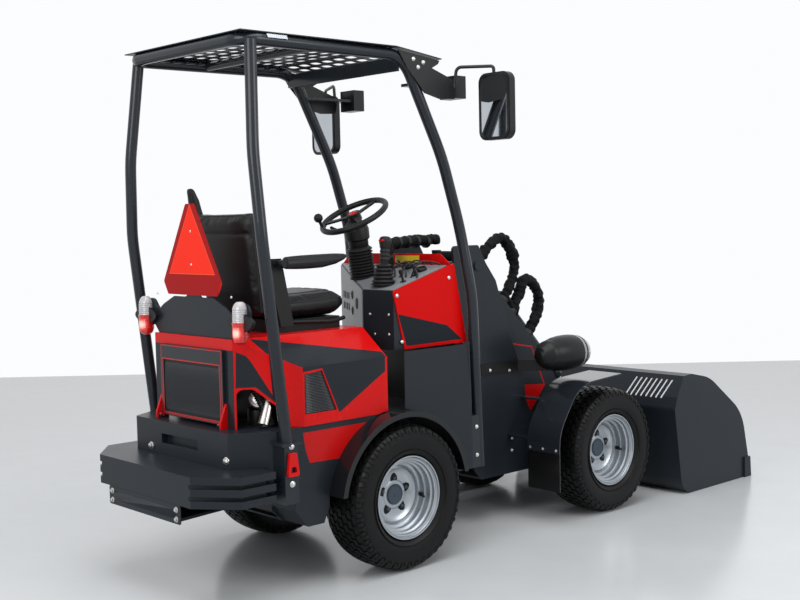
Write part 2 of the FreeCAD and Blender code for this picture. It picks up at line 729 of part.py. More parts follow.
def make_radiator_door():
    """The rear door's frame, with its hinge cheeks at the lower corners, and its mesh."""
    body = new_body("radiator_door")
    outer = D.hood_rear_x - D.gap - D.door_wall
    pad(body, "YZ_Plane",
        [(-D.door_half, D.door_bottom_z), (D.door_half, D.door_bottom_z), (D.door_half, D.door_top_z),
         (-D.door_half, D.door_top_z)],
        D.door_wall, offset=outer, rounds={0: 8, 1: 8, 2: 12, 3: 12})
    pocket(body, "YZ_Plane",
           [(-D.grille_half, D.grille_bottom_z), (D.grille_half, D.grille_bottom_z),
            (D.grille_half, D.grille_top_z), (-D.grille_half, D.grille_top_z)],
           D.door_wall * 2 + 4, offset=outer + D.door_wall + 2)
    twin_discs(body, D.door_hinge_x, D.door_hinge_z, 10, 20, D.door_half - 22)
    bore(body, "XZ_Plane", D.door_hinge_x, D.door_hinge_z, 5 + D.pin_play, D.door_half * 2 + 20, symmetric=True)
    finish("radiator_door", body)
    mesh = new_body("radiator_grille")
    pad(mesh, "YZ_Plane",
        [(D.gap - D.grille_half, D.grille_bottom_z + D.gap), (D.grille_half - D.gap, D.grille_bottom_z + D.gap),
         (D.grille_half - D.gap, D.grille_top_z - D.gap), (D.gap - D.grille_half, D.grille_top_z - D.gap)],
        4, offset=outer + 4)
    finish("radiator_grille", mesh)


make_hood()
make_side_grilles()
make_radiator_door()


# ---------------------------------------------------------------- rear weights, hitch, lamps

def make_counterweight():
    """The cast block behind the chassis, with a hand slot in its rear face."""
    body = new_body("counterweight")
    front = D.chassis_rear_x - D.gap
    pad(body, "XY_Plane",
        [(D.weight_rear_x, -D.weight_rear_y), (D.weight_corner_x, -D.weight_side_y),
         (front, -D.weight_side_y), (front, D.weight_side_y), (D.weight_corner_x, D.weight_side_y),
         (D.weight_rear_x, D.weight_rear_y)],
        D.tank_top_z - D.weight_bottom_z, offset=D.weight_bottom_z,
        rounds={0: 12, 1: 12, 4: 12, 5: 12})
    slot_z = D.weight_bottom_z + 102
    pocket(body, "YZ_Plane",
           [(as_size(-125), slot_z), (as_size(135), slot_z), (as_size(135), slot_z + 38), (as_size(-125), slot_z + 38)],
           30, offset=D.weight_rear_x - 2, backwards=True)
    finish("counterweight", body)


def make_bumper_weights():
    """Three stacked slabs, joined by a narrower core, that wrap the counterweight's corners."""
    body = new_body("bumper_weights")
    slope = (D.weight_side_y - D.weight_rear_y) / (D.weight_corner_x - D.weight_rear_x)
    inner_rear = D.weight_rear_x - D.gap - 1
    inner_y = D.weight_rear_y + (D.bumper_front_x - D.weight_rear_x) * slope + 4

    def wrap(inset):
        """Plan of the stack, its outer faces moved in by inset."""
        front = D.bumper_front_x - inset * 0.6
        side = D.bumper_side_y - inset
        rear_y = D.bumper_rear_y - inset * 0.4
        corner = D.bumper_corner_x + inset * 0.4
        return [(front, -side), (corner, -side), (D.bumper_rear_x, -rear_y), (D.bumper_rear_x, rear_y),
                (corner, side), (front, side), (front, inner_y), (inner_rear, D.weight_rear_y),
                (inner_rear, -D.weight_rear_y), (front, -inner_y)]

    height = D.bumper_pitch * 2 + D.bumper_fin
    pad(body, "XY_Plane", list(reversed(wrap(D.bumper_inset))), height, offset=D.bumper_bottom_z)
    for layer in range(3):
        pad(body, "XY_Plane", list(reversed(wrap(as_size(0)))), D.bumper_fin,
            offset=D.bumper_bottom_z + D.bumper_pitch * layer)
    finish("bumper_weights", body)


def make_tow_hitch():
    """A bolted cross plate under the bumper weights, on two arms from the chassis."""
    body = new_body("tow_hitch")
    rear = D.hitch_rear_x
    top = D.bumper_bottom_z - D.gap
    low = D.hitch_bottom_z
    pad(body, "YZ_Plane",
        [(-D.hitch_half, low), (D.hitch_half, low), (D.hitch_half, top), (-D.hitch_half, top)],
        D.hitch_wall, offset=rear, rounds={0: 10, 1: 10, 2: 6, 3: 6})
    pad(body, "XY_Plane",
        [(rear + 2, 30 - D.hitch_half), (D.chassis_rear_x - D.gap, 90 - D.hitch_half),
         (D.chassis_rear_x - D.gap, D.hitch_half - 90), (rear + 2, D.hitch_half - 30)],
        D.hitch_wall, offset=low + 4)
    for side in (-1, 1):
        pad(body, "XZ_Plane",
            [(rear + 2, low + 6), (D.chassis_rear_x - D.gap, low + 6),
             (D.chassis_rear_x - D.gap, top), (rear + 2, top)],
            10, offset=D.hitch_half * 0.5 * side, symmetric=True)
    for side in (-1, 1):
        for height in (D.hitch_bolt_low_z, D.hitch_bolt_low_z + D.hitch_bolt_rise):
            bore(body, "YZ_Plane", D.hitch_bolt_y * side, height, D.hitch_bolt_radius,
                 D.hitch_wall + 4, offset=rear + D.hitch_wall + 2)
    finish("tow_hitch", body)


def make_tie_down_rings():
    """A forged lashing eye on each rear foot bracket: a tapered strap with an opening at its foot."""
    body = new_body("tie_down_right")
    y = D.rops_side_y + 28 + D.gap
    x = D.rops_rear_x
    pad(body, "XZ_Plane",
        [(x - 27, 478), (x + 27, 478), (x + 16, 566), (x - 16, 566)], 13, offset=y,
        rounds={0: 8, 1: 8, 2: 8, 3: 8})
    pocket(body, "XZ_Plane",
           [(x - 15, 492), (x + 15, 492), (x + 11, 514), (x - 11, 514)], 40, offset=y - 10, backwards=True,
           rounds={0: 4, 1: 4, 2: 4, 3: 4})
    pair("tie_down_rings", body)


def make_lamp_plate():
    """The black plate across the hood's rear top, which holds the tail lamps and the warning sign."""
    body = new_body("lamp_plate")
    low = D.hood_top_z + D.gap
    pad(body, "YZ_Plane",
        [(-262, low), (262, low), (290, low + 30), (D.lamp_y + 44, low + 20), (D.lamp_y + 44, low + 138),
         (D.lamp_y - 44, low + 138), (255, low + 96), (220, low + 118), (140, low + 152), (40, low + 152),
         (40, low + 326), (-40, low + 326), (-40, low + 152), (-140, low + 152), (-220, low + 118),
         (-255, low + 96), (44 - D.lamp_y, low + 138), (-D.lamp_y - 44, low + 138),
         (-D.lamp_y - 44, low + 20), (-290, low + 30)],
        8, offset=D.hood_rear_x + 12,
        rounds={3: 36, 4: 36, 5: 36, 9: 20, 12: 20, 16: 36, 17: 36, 18: 36})
    finish("lamp_plate", body)


def make_tail_lamps():
    """A capsule-shaped lamp at each end of the lamp plate, flat where it sits on the plate."""
    radius = D.lamp_radius
    low = D.hood_top_z - 14
    body = new_body("tail_lamp_right", D.hood_rear_x, -D.lamp_y, low)
    turned(body, [
        (as_size(0), as_size(0)), (radius, as_size(0)), (radius, as_size(163)), (as_size(0), as_size(163)),
    ], {1: 14, 2: 28}, plane="XZ_Plane")
    pocket(body, "XZ_Plane",
           [(12 - D.gap, as_size(-10)), (radius + 10, as_size(-10)), (radius + 10, as_size(180)),
            (12 - D.gap, as_size(180))], radius * 4, symmetric=True)
    pair("tail_lamps", body)


def make_warning_triangle():
    """The slow vehicle sign: a triangle with cut corners."""
    body = new_body("slow_vehicle_triangle")
    low = D.hood_top_z + 160
    pad(body, "YZ_Plane",
        [(-175, low), (175, low), (205, low + 52), (30, low + 358), (-30, low + 358), (-205, low + 52)],
        4, offset=D.hood_rear_x + 12 - D.gap - 4, rounds={0: 12, 1: 12, 2: 12, 3: 12, 4: 12, 5: 12})
    finish("slow_vehicle_triangle", body)


make_counterweight()
make_bumper_weights()
make_tow_hitch()
make_tie_down_rings()
make_lamp_plate()
make_tail_lamps()
make_warning_triangle()


# ---------------------------------------------------------------- fenders, floor, footwell

def make_rear_fenders():
    """A sheet arc over each rear wheel with a turned-down outer edge."""
    body = new_body("rear_fender_right")
    inner_y = D.rear_rail_y + D.gap
    sketch = new_sketch(body, "XZ_Plane", inner_y)
    draw_circle(sketch, -D.wheel_base_half, D.tyre_radius, D.fender_radius)
    draw_circle(sketch, -D.wheel_base_half, D.tyre_radius, D.fender_radius - D.fender_wall)
    extrude(body, "Pad", sketch, D.fender_outer_y - inner_y)
    lip = new_sketch(body, "XZ_Plane", D.fender_outer_y - D.fender_wall)
    draw_circle(lip, -D.wheel_base_half, D.tyre_radius, D.fender_radius - 1)
    draw_circle(lip, -D.wheel_base_half, D.tyre_radius, D.fender_radius - 22)
    extrude(body, "Pad", lip, D.fender_wall)
    left = -D.wheel_base_half - D.fender_radius - 20
    right = D.fender_radius + 20 - D.wheel_base_half
    bottom = D.tyre_radius - D.fender_radius - 20
    pocket(body, "XZ_Plane",
           [(left, bottom), (right, bottom), (right, D.fender_low_z), (left, D.fender_low_z)],
           D.fender_outer_y - inner_y + 20, offset=inner_y - 10, backwards=True)
    pair("rear_fenders", body)


def make_floor():
    """The flat floor of the footwell."""
    low = D.rail_top_z + D.gap
    half = D.footwell_y - D.plate - D.gap
    body = new_body("floor_plate")
    pad(body, "XY_Plane",
        [(D.floor_rear_x, -half), (D.floor_front_x, -half), (D.floor_front_x, half), (D.floor_rear_x, half)],
        D.floor_wall, offset=low)
    reach = half - D.rear_rail_y + 20
    for start in (D.rear_rail_y, -D.rear_rail_y - reach):
        bore(body, "XZ_Plane", -D.wheel_base_half, D.tyre_radius, D.fender_radius + D.gap, reach,
             offset=start, backwards=True)
    finish("floor_plate", body)


def make_footwell():
    """The footwell's bulkhead and side panels, which run down as skirts; low sill on the entry side."""
    floor_top = D.rail_top_z + D.gap + D.floor_wall
    body = new_body("footwell_panels")
    half = D.footwell_y
    pad(body, "YZ_Plane",
        [(-half, floor_top + D.gap), (half, floor_top + D.gap), (half, D.footwell_top_z),
         (-half, D.footwell_top_z)],
        D.plate, offset=D.bulkhead_x - D.plate)
    for side, top in ((1, D.footwell_top_z), (-1, floor_top + 60)):
        outer = D.footwell_y - D.plate if side > 0 else -D.footwell_y
        pad(body, "XZ_Plane",
            [(D.footwell_rear_x, D.rail_top_z + 20), (D.footwell_rear_x + 150, D.skirt_low_z),
             (D.skirt_front_x, D.skirt_low_z), (D.skirt_front_x, floor_top + 60),
             (D.bulkhead_x - 1, top), (D.footwell_rear_x, top)],
            D.plate, offset=outer)
    disc_cut = new_sketch(body, "XZ_Plane", 0)
    draw_circle(disc_cut, -D.wheel_base_half, D.tyre_radius, D.fender_radius + 2)
    extrude(body, "Pocket", disc_cut, D.footwell_y * 2 + 20, symmetric=True)
    finish("footwell_panels", body)


make_rear_fenders()
make_floor()
make_footwell()


# ---------------------------------------------------------------- console and controls

def console_plan(inset):
    """Plan of the console: its left rear side runs at a slant, which leaves the way in open."""
    front, rear = D.console_front_x - inset, D.console_rear_x + inset
    half = D.console_y - inset
    return [(rear, -half), (front, -half), (front, half), (front - 12, half),
            (rear, D.console_inner_y - inset * 0.3)]


def deck_height(x):
    """Height of the console's slanted top at a place along the machine."""
    rise = (D.console_front_z - D.console_rear_z) / (D.console_front_x - D.console_rear_x)
    return D.console_rear_z + (x - D.console_rear_x) * rise


def under_deck(name, low, above):
    """A block from low up to a slope that runs above the deck by the amount given."""
    body = new_body(name)
    rear, front = D.console_rear_x - 60, D.console_front_x + 60
    pad(body, "XZ_Plane",
        [(rear, low), (front, low), (front, deck_height(front) + above), (rear, deck_height(rear) + above)],
        D.console_y * 2 + 40, symmetric=True)
    return body


def common(name, pieces):
    """What several solids share."""
    shared = doc.addObject("Part::MultiCommon", name)
    shared.Shapes = pieces
    return shared


def cut(name, base, tool):
    """One solid less another."""
    rest = doc.addObject("Part::Cut", name)
    rest.Base = base
    rest.Tool = tool
    return rest


def make_console_frame():
    """The console's own walls and the slanted deck that carries the controls, folded from sheet."""
    low = D.footwell_top_z + D.gap
    height = D.console_front_z + 60 - low
    outer = new_body("console_outer")
    pad(outer, "XY_Plane", console_plan(as_size(0)), height, offset=low)
    inner = new_body("console_inner")
    pad(inner, "XY_Plane", console_plan(D.console_wall), height + 40, offset=low - 20)
    outside = common("console_outside", [outer, under_deck("console_slope", low - 10, as_size(0))])
    inside = common("console_inside", [inner, under_deck("console_lining", low - 30, -D.console_wall)])
    finish("console_frame", cut("console_frame", outside, inside))


def make_console_panels():
    """The painted cowl across the console's front and the panel on its right side."""
    body = new_body("console_panels")
    y = D.console_y + D.gap
    low = D.footwell_top_z + D.gap
    front = D.console_front_x + D.gap
    pad(body, "YZ_Plane",
        [(-y - D.plate, low), (y, low), (y, D.console_front_z), (D.cowl_top_y, D.cowl_top_z),
         (-D.cowl_top_y, D.cowl_top_z), (-y - D.plate, D.console_front_z)],
        D.plate, offset=front)
    pad(body, "XZ_Plane",
        [(D.console_rear_x + 54, low), (front + 94, low), (front + 22, D.console_front_z + 6),
         (D.console_rear_x - 6, D.console_rear_z)],
        D.plate, offset=y)
    finish("console_panels", body)


def make_instrument_panel():
    """The panel on the console's slanted left rear side, which faces the driver."""
    body = new_body("instrument_plate")
    x1, y1 = D.console_rear_x, D.console_inner_y
    x2, y2 = D.console_front_x - 12, D.console_y
    length = distance(x1, y1, x2, y2)
    across_x = (y1 - y2) / length
    across_y = (x2 - x1) / length
    near, far = D.gap * 2, D.gap * 2 + D.plate
    along_x, along_y = (x2 - x1) / length, (y2 - y1) / length
    begin, end = 6, length - 12
    corners = [(x1 + along_x * begin + across_x * near, y1 + along_y * begin + across_y * near),
               (x1 + along_x * end + across_x * near, y1 + along_y * end + across_y * near),
               (x1 + along_x * end + across_x * far, y1 + along_y * end + across_y * far),
               (x1 + along_x * begin + across_x * far, y1 + along_y * begin + across_y * far)]
    low = D.footwell_top_z + 20
    pad(body, "XY_Plane", corners, D.console_front_z + 20 - low, offset=low)
    finish("instrument_panel",
           common("instrument_panel", [body, under_deck("instrument_slope", low - 10, as_size(-3))]))


def slant(rise, run):
    """Angle of a slope in degrees, bound to its rise and run."""
    return Size(math.degrees(math.atan2(rise.value, run.value)), f"atan2({rise.text}; {run.text})")


COLUMN_BASE_Z = deck_height(D.column_foot_x) - 20
LEAN = slant(D.column_foot_x - D.wheel_hub_x, D.wheel_hub_z - COLUMN_BASE_Z)


def lean_back(piece):
    """Turns a piece modelled upright onto the steering column's axis."""
    piece.Placement.Rotation = FreeCAD.Rotation(Vector(0, -1, 0), LEAN.value)
    piece.setExpression("Placement.Rotation.Angle", LEAN.text)


def tilt_back(piece):
    """Turns a piece modelled upright onto the steering wheel's axis."""
    piece.Placement.Rotation = FreeCAD.Rotation(Vector(0, -1, 0), D.wheel_tilt.value)
    piece.setExpression("Placement.Rotation.Angle", f"{D.wheel_tilt.text} * 1 deg")


def make_steering():
    """The column in its bellows, its tilting head, and the steering wheel with three spokes and a
    spinner knob."""
    column = new_body("column_bellows", D.column_foot_x, 0, COLUMN_BASE_Z)
    turned(column, [
        (as_size(0), as_size(0)), (as_size(44), as_size(0)), (as_size(42), as_size(34)),
        (as_size(34), as_size(44)), (as_size(36), as_size(146)), (as_size(48), as_size(158)),
        (as_size(50), as_size(214)), (as_size(38), as_size(238)), (as_size(0), as_size(238)),
    ], plane="XZ_Plane")
    lean_back(column)
    shaft = new_body("column_shaft", D.wheel_hub_x, 0, D.wheel_hub_z)
    disc(shaft, "XY_Plane", 0, 0, 17, 70, offset=-92 - D.gap)
    tilt_back(shaft)
    foot = under_deck("column_foot", D.footwell_top_z, D.gap)
    finish("steering_column", cut("steering_column", fuse("column", [column, shaft]), foot))
    ring = doc.addObject("Part::Torus", "ring")
    bind(ring, Radius1=D.wheel_ring, Radius2=D.wheel_grip)
    hub = doc.addObject("Part::Cylinder", "hub")
    bind(hub, Radius=30, Height=36)
    hub.Placement.Base = Vector(0, 0, -22)
    spokes = []
    for index in range(3):
        spoke = doc.addObject("Part::Box", "spoke")
        bind(spoke, Length=D.wheel_ring - D.wheel_grip / 2, Width=22, Height=8)
        turn = FreeCAD.Rotation(Vector(0, 0, 1), 120 * index)
        spoke.Placement = FreeCAD.Placement(turn.multVec(Vector(0, -11, -4)), turn)
        spokes.append(spoke)
    stem = doc.addObject("Part::Cylinder", "knob_stem")
    bind(stem, Radius=7, Height=42)
    knob = doc.addObject("Part::Sphere", "knob")
    bind(knob, Radius=20)
    angle = math.radians(140)
    for piece, height in ((stem, 4), (knob, 52)):
        piece.Placement.Base = Vector(D.wheel_ring.value * math.cos(angle),
                                      D.wheel_ring.value * math.sin(angle), height)
    wheel = fuse("steering_wheel", [ring, hub, stem, knob] + spokes)
    place(wheel, D.wheel_hub_x, 0, D.wheel_hub_z)
    tilt_back(wheel)
    finish("steering_wheel", wheel)


def make_joystick():
    """The lift lever: a grip on a tapered bellows that stands on the slanted deck."""
    body = new_body("joystick_lever", D.stick_x, D.stick_y, deck_height(D.stick_x) - 22)
    turned(body, [
        (as_size(0), as_size(0)), (as_size(46), as_size(0)), (as_size(45), as_size(36)),
        (as_size(24), as_size(116)), (as_size(13), as_size(126)), (as_size(17), as_size(146)),
        (as_size(22), as_size(198)), (as_size(16), as_size(218)), (as_size(0), as_size(218)),
    ], plane="XZ_Plane")
    foot = under_deck("joystick_foot", D.footwell_top_z, D.gap)
    finish("joystick", cut("joystick", body, foot))


make_console_frame()
make_console_panels()
make_instrument_panel()
make_steering()
make_joystick()


# ---------------------------------------------------------------- seat

def make_seat():
    """Slides, cushion, reclined backrest and the two armrests."""
    half = D.seat_half
    slide_low = D.hood_top_z + D.gap
    base = new_body("seat_base")
    pad(base, "XZ_Plane",
        [(D.seat_rear_x - 10, slide_low), (D.seat_front_x - 40, slide_low), (D.seat_front_x - 40, D.seat_slide_z),
         (D.seat_rear_x - 10, D.seat_slide_z)],
        half * 2 - 60, symmetric=True)
    arm_face = D.arm_y - D.arm_width / 2
    twin_pads(base,
              [(D.seat_rear_x - 10, D.seat_slide_z - 22), (D.seat_rear_x + 50, D.seat_slide_z - 22),
               (D.seat_rear_x + 50, D.seat_slide_z - 2), (D.arm_pivot_x + 24, D.arm_pivot_z + 20),
               (D.arm_pivot_x - 24, D.arm_pivot_z + 20), (D.arm_pivot_x - 30, D.arm_pivot_z - 60)],
              D.plate, half + 4)
    twin_pads(base,
              [(D.seat_rear_x - 10, D.seat_slide_z - 22), (D.seat_rear_x + 50, D.seat_slide_z - 22),
               (D.seat_rear_x + 50, D.seat_slide_z), (D.seat_rear_x - 10, D.seat_slide_z)],
              75, half - 70)
    twin_discs(base, D.arm_pivot_x, D.arm_pivot_z, 14, arm_face - D.gap - half - 5, half + 5)
    finish("seat_base", base)
    cushion = new_body("seat_cushion")
    pad(cushion, "XZ_Plane",
        [(D.seat_rear_x, D.seat_slide_z + D.gap), (D.seat_front_x, D.seat_slide_z + D.gap),
         (D.seat_front_x, D.seat_top_z), (D.seat_rear_x, D.seat_top_z - 14)],
        half * 2, symmetric=True, rounds={1: 30, 2: 45, 3: 30})
    finish("seat_cushion", cushion)
    back = new_body("seat_back")
    pad(back, "XZ_Plane",
        [(D.seat_rear_x - 8, D.seat_slide_z + D.gap), (D.seat_rear_x - D.gap, D.seat_slide_z + 90),
         (D.back_top_x + D.back_wall, D.back_top_z - 30), (D.back_top_x + D.back_wall - 30, D.back_top_z),
         (D.back_top_x, D.back_top_z), (D.seat_rear_x - 14 - D.back_wall, D.seat_slide_z + 40)],
        half * 2 - 6, symmetric=True, rounds={2: 20, 3: 20, 4: 30, 5: 30})
    finish("seat_back", back)
    for label, side, raised in (("armrest_right", -1, False), ("armrest_left", 1, True)):
        arm = new_body(label, D.arm_pivot_x, D.arm_y * side, D.arm_pivot_z)
        pad(arm, "XZ_Plane",
            [(as_size(-28), as_size(-24)), (as_size(40), as_size(-30)), (D.arm_length, as_size(-4)),
             (D.arm_length, as_size(34)), (as_size(-28), as_size(40))],
            D.arm_width, symmetric=True, rounds={0: 18, 2: 14, 3: 14, 4: 18})
        if raised:
            arm.Placement.Rotation = FreeCAD.Rotation(Vector(0, -1, 0), 98)
        finish(label, arm)


make_seat()


# ---------------------------------------------------------------- roll-over frame, roof, mirrors

def make_rops():
    """One bent tube per side for the roof frame and front post, a rear post under each rear corner,
    cross members and flanged feet."""
    top, front_y = D.rops_top_z, D.rops_front_y
    foot_z = D.tank_top_z - 40
    hoop = tube("rops_hoop", [
        (D.rops_end_x, as_size(1), top), (D.rops_end_x, -D.rops_roof_y, top),
        (D.rops_front_x - 382, -front_y, top), (D.rops_front_x - 166, -front_y, top - 412),
        (D.rops_front_x - 68, -front_y - 2, top - 712), (D.rops_front_x - 26, -D.rops_foot_y + 4, top - 1012),
        (D.rops_front_x, -D.rops_foot_y, D.rops_front_low_z),
    ], D.rops_tube, [70, 150, 900, 800, 900])
    post = tube("rops_post", [
        (D.rops_rear_x, -D.rops_side_y, foot_z), (D.rops_rear_x - 86, 2 - D.rops_side_y, top - 722),
        (D.rops_rear_x - 96, 26 - D.rops_side_y, top - 412), (D.rops_end_x + 33, -D.rops_roof_y, top - 6),
    ], D.rops_tube - 1, [900, 900])
    pieces = [hoop, mirror(hoop), post, mirror(post)]
    cross = doc.addObject("Part::Cylinder", "rops_cross")
    bind(cross, Radius=D.rops_tube - 6, Height=D.rops_roof_y * 2 - 20)
    cross.Placement.Rotation = FreeCAD.Rotation(Vector(1, 0, 0), -90)
    pieces.append(place(cross, D.roof_bend_x - 390, 10 - D.rops_roof_y, top))
    pieces.append(box("rops_front_bar", (D.rops_front_x - 410, -front_y, top - 66),
                      (D.rops_front_x - 402, front_y, top - 8)))
    for sign in (-1, 1):
        centre = D.rops_side_y * sign
        pieces.append(box("rops_flange", (D.rops_rear_x - 45, centre - 34, foot_z - 8),
                          (D.rops_rear_x + 45, centre + 34, foot_z + 2)))
        inner, outer = D.weight_side_y + D.gap, D.rops_side_y + 28
        low, high = (inner, outer) if sign > 0 else (-outer, -inner)
        pieces.append(box("rops_bracket", (D.rops_rear_x - 32, low, 372), (D.rops_rear_x + 32, high, foot_z)))
        inner, outer = D.footwell_y - 36, D.rops_foot_y + D.rops_tube - 4
        low, high = (inner, outer) if sign > 0 else (-outer, -inner)
        pieces.append(box("rops_front_foot", (D.skirt_front_x + D.gap, low, D.rops_front_low_z),
                          (D.rops_front_x - 4, high, D.rops_front_low_z + 230)))
        low, high = (as_size(300), front_y + 4) if sign > 0 else (-front_y - 4, as_size(-300))
        pieces.append(box("rops_lamp_stay", (D.rops_front_x - 330, low, top - 120),
                          (D.work_lamp_x, high, top - 108)))
    finish("rops_frame", fuse("rops_frame", pieces))


def make_roof():
    """The roof plate on top of the frame, bent down a little ahead of the front bends."""
    body = new_body("roof_plate")
    low = D.rops_top_z + D.rops_tube + D.gap
    rear, bend, front, drop, half = D.roof_rear_x, D.roof_bend_x, D.roof_front_x, D.roof_drop, D.roof_half
    pad(body, "XZ_Plane",
        [(rear, low), (bend, low), (front, low - drop), (front, low - drop + D.roof_wall),
         (bend, low + D.roof_wall), (rear, low + D.roof_wall)],
        half * 2, symmetric=True)
    for side in (-1, 1):
        for x, reach in ((rear, 45), (front, -70)):
            pocket(body, "XY_Plane",
                   [(x - reach * 0.2, (half + 10) * side), (x - reach * 0.2, (half - 60) * side),
                    (x, (half - 50) * side), (x + reach, half * side), (x + reach, (half + 10) * side)],
                   100, offset=low + 40)
    finish("roof_plate", body)


def make_mirrors():
    """A bracket plate on each front bend, the bent mirror arm and the mirror's housing."""
    bracket = new_body("mirror_bracket")
    outer = D.rops_front_y + D.rops_tube + 1.8
    top, x = D.rops_top_z, D.rops_front_x
    pad(bracket, "XZ_Plane",
        [(x - 435, top + 16), (x - 382, top - 57), (x - 288, top - 151), (x - 202, top - 171),
         (x - 112, top - 167), (x - 98, top - 95), (x - 245, top - 46), (x - 209, top - 27), (x - 200, top - 13)],
        6, offset=outer, rounds={3: 10, 4: 10, 5: 10})
    arm = tube("mirror_arm", [
        (x - 112, -outer - 3, top - 122), (x - 108, -outer - 14, top - 34),
        (D.mirror_x + 12, -D.mirror_y, top - 40), (D.mirror_x + 12, -D.mirror_y, D.mirror_top_z - 6),
    ], as_size(7), [24, 14])
    housing = new_body("mirror_housing")
    half = D.mirror_width / 2
    y = D.mirror_y + 10
    pad(housing, "YZ_Plane",
        [(-y - half, D.mirror_low_z), (half - y, D.mirror_low_z), (half - y, D.mirror_top_z),
         (-y - half, D.mirror_top_z)],
        34, offset=D.mirror_x, rounds={0: 40, 1: 40, 2: 40, 3: 40})
    pair("mirrors", fuse("mirror_right", [bracket, arm, housing]))


def make_work_lights():
    """A square work light at the end of each stay."""
    y = D.rops_front_y - 33
    x = D.work_lamp_x + D.gap
    pair("work_lights", box("work_light_right", (x, -y - 48, D.rops_top_z - 160),
                            (x + 62, -y + 50, D.rops_top_z - 64)))


make_rops()
make_roof()
make_mirrors()
make_work_lights()


# ---------------------------------------------------------------- front chassis

def make_front_chassis():
    """Two tower plates joined by a belly plate, cross plates and the hinge tongue."""
    body = new_body("front_chassis")
    nose, low = D.front_nose_x, D.front_belly_z
    top = D.tower_top_z
    pad(body, "XZ_Plane",
        [(as_size(-96), top), (as_size(27), low + 52), (as_size(70), low), (nose - 30, low), (nose, low + 60),
         (nose, low + 170), (as_size(560), low + 190), (as_size(416), low + 283), (as_size(385), low + 340),
         (as_size(375), low + 450), (as_size(290), top - 456), (as_size(186), top - 168),
         (as_size(120), top - 84), (as_size(72), top)],
        D.tower_y * 2, symmetric=True, rounds={0: 20, 11: 40, 12: 60, 13: 16})
    inner = D.tower_y - D.tower_wall
    pocket(body, "XZ_Plane",
           [(as_size(-150), low + D.tower_wall), (nose - D.tower_wall, low + D.tower_wall),
            (nose - D.tower_wall, top + 50), (as_size(-150), top + 50)],
           inner * 2, symmetric=True)
    pocket(body, "XZ_Plane",
           [(nose - 40, low + 46), (nose + 20, low + 46), (nose + 20, low + 300), (nose - 40, low + 300)],
           inner * 2, symmetric=True)
    for start in (inner - 4, -D.tower_y - 4):
        bore(body, "XZ_Plane", 0, D.steer_z, 75, D.tower_wall + 8, offset=start, backwards=True)
    pad(body, "YZ_Plane",
        [(-inner - 2, low + 4), (inner + 2, low + 4), (inner + 2, low + 330), (-inner - 2, low + 330)],
        D.tower_wall, offset=D.cross_x)
    lower = D.belly_z + D.ear_wall + D.tongue_play
    upper = D.ear_upper_z - D.tongue_play - D.ear_wall
    for level in (lower, upper):
        pad(body, "XY_Plane",
            [(-D.tongue_radius, -D.tongue_radius), (D.cross_x + 2, -D.tongue_radius - 20),
             (D.cross_x + 2, D.tongue_radius + 20), (-D.tongue_radius, D.tongue_radius)],
            D.ear_wall, offset=level, rounds={0: D.tongue_radius * 0.96, 3: D.tongue_radius * 0.96})
    bore(body, "XY_Plane", 0, 0, D.pin_radius + D.pin_play, D.ear_upper_z, offset=D.ear_upper_z)
    lug_gap = D.eye_half + 2
    for level in (D.steer_z - lug_gap - 10, D.steer_z + lug_gap):
        pad(body, "XY_Plane",
            [(D.steer_front_x - 24, D.steer_front_y - 24), (D.cross_x + 2, D.steer_front_y - 30),
             (D.cross_x + 2, inner + 2), (D.steer_front_x - 24, inner + 2)],
            10, offset=level)
    twin_pads(body,
              [(D.cross_x + 4, D.lift_base_z - 46), (D.lift_base_x + 20, D.lift_base_z - 30),
               (D.lift_base_x + 20, D.lift_base_z + 26), (D.cross_x + 4, D.lift_base_z + 46)],
              14, D.lift_bore + 3)
    disc(body, "XZ_Plane", D.lift_base_x, D.lift_base_z, 13, (D.lift_bore + 16) * 2, symmetric=True)
    disc(body, "XZ_Plane", D.boom_pivot_x, D.boom_pivot_z, D.boom_pin, (D.tower_y + 8) * 2, symmetric=True)
    pad(body, "XZ_Plane",
        [(as_size(-26), D.port_block_z - 30), (as_size(26), D.port_block_z - 30),
         (as_size(26), D.port_block_z), (as_size(-26), D.port_block_z)],
        inner + 2 - D.boom_half - 6, offset=D.boom_half + 6)
    finish("front_chassis", body)


def make_front_fenders():
    """A rolled sheet fender on two flat stays from the tower plate, with a rubber mud flap below its
    rear edge."""
    rear, top, low, tip = D.front_fender_rear_x, D.front_fender_top_z, D.front_fender_low_z, D.front_fender_tip_x
    inner, wall = D.front_fender_inner_y, D.fender_wall
    outside = [(rear, low), (rear + 6, low + 100), (rear + 150, top - 18), (tip, top)]
    inside = [(tip, top - wall), (rear + 152, top - 18 - wall), (rear + 6 + wall, low + 99), (rear + wall, low)]
    body = new_body("front_fender_right")
    pad(body, "XZ_Plane", [(as_size(a), as_size(b)) for a, b in reversed(outside + inside)],
        D.front_fender_y - inner, offset=inner,
        rounds={5: 220, 6: 200, 2: 200 - wall, 1: 220 - wall})
    start = D.tower_y + D.gap
    for x, z in ((rear + 2, low + 48), (rear + 95, top - 106)):
        pad(body, "XZ_Plane", [(x, z), (x + 44, z), (x + 44, z + 8), (x, z + 8)],
            inner + 24 - start, offset=start)
    flap = new_body("mud_flap_right")
    pad(flap, "XZ_Plane",
        [(rear + wall - 1, low + 24), (rear + wall - 1, D.flap_low_z), (rear + wall + 4, D.flap_low_z),
         (rear + wall + 4, low + 24)],
        D.front_fender_y - inner - 4, offset=inner + 2)
    pair("front_fenders", fuse("front_fender_with_flap", [body, flap]))


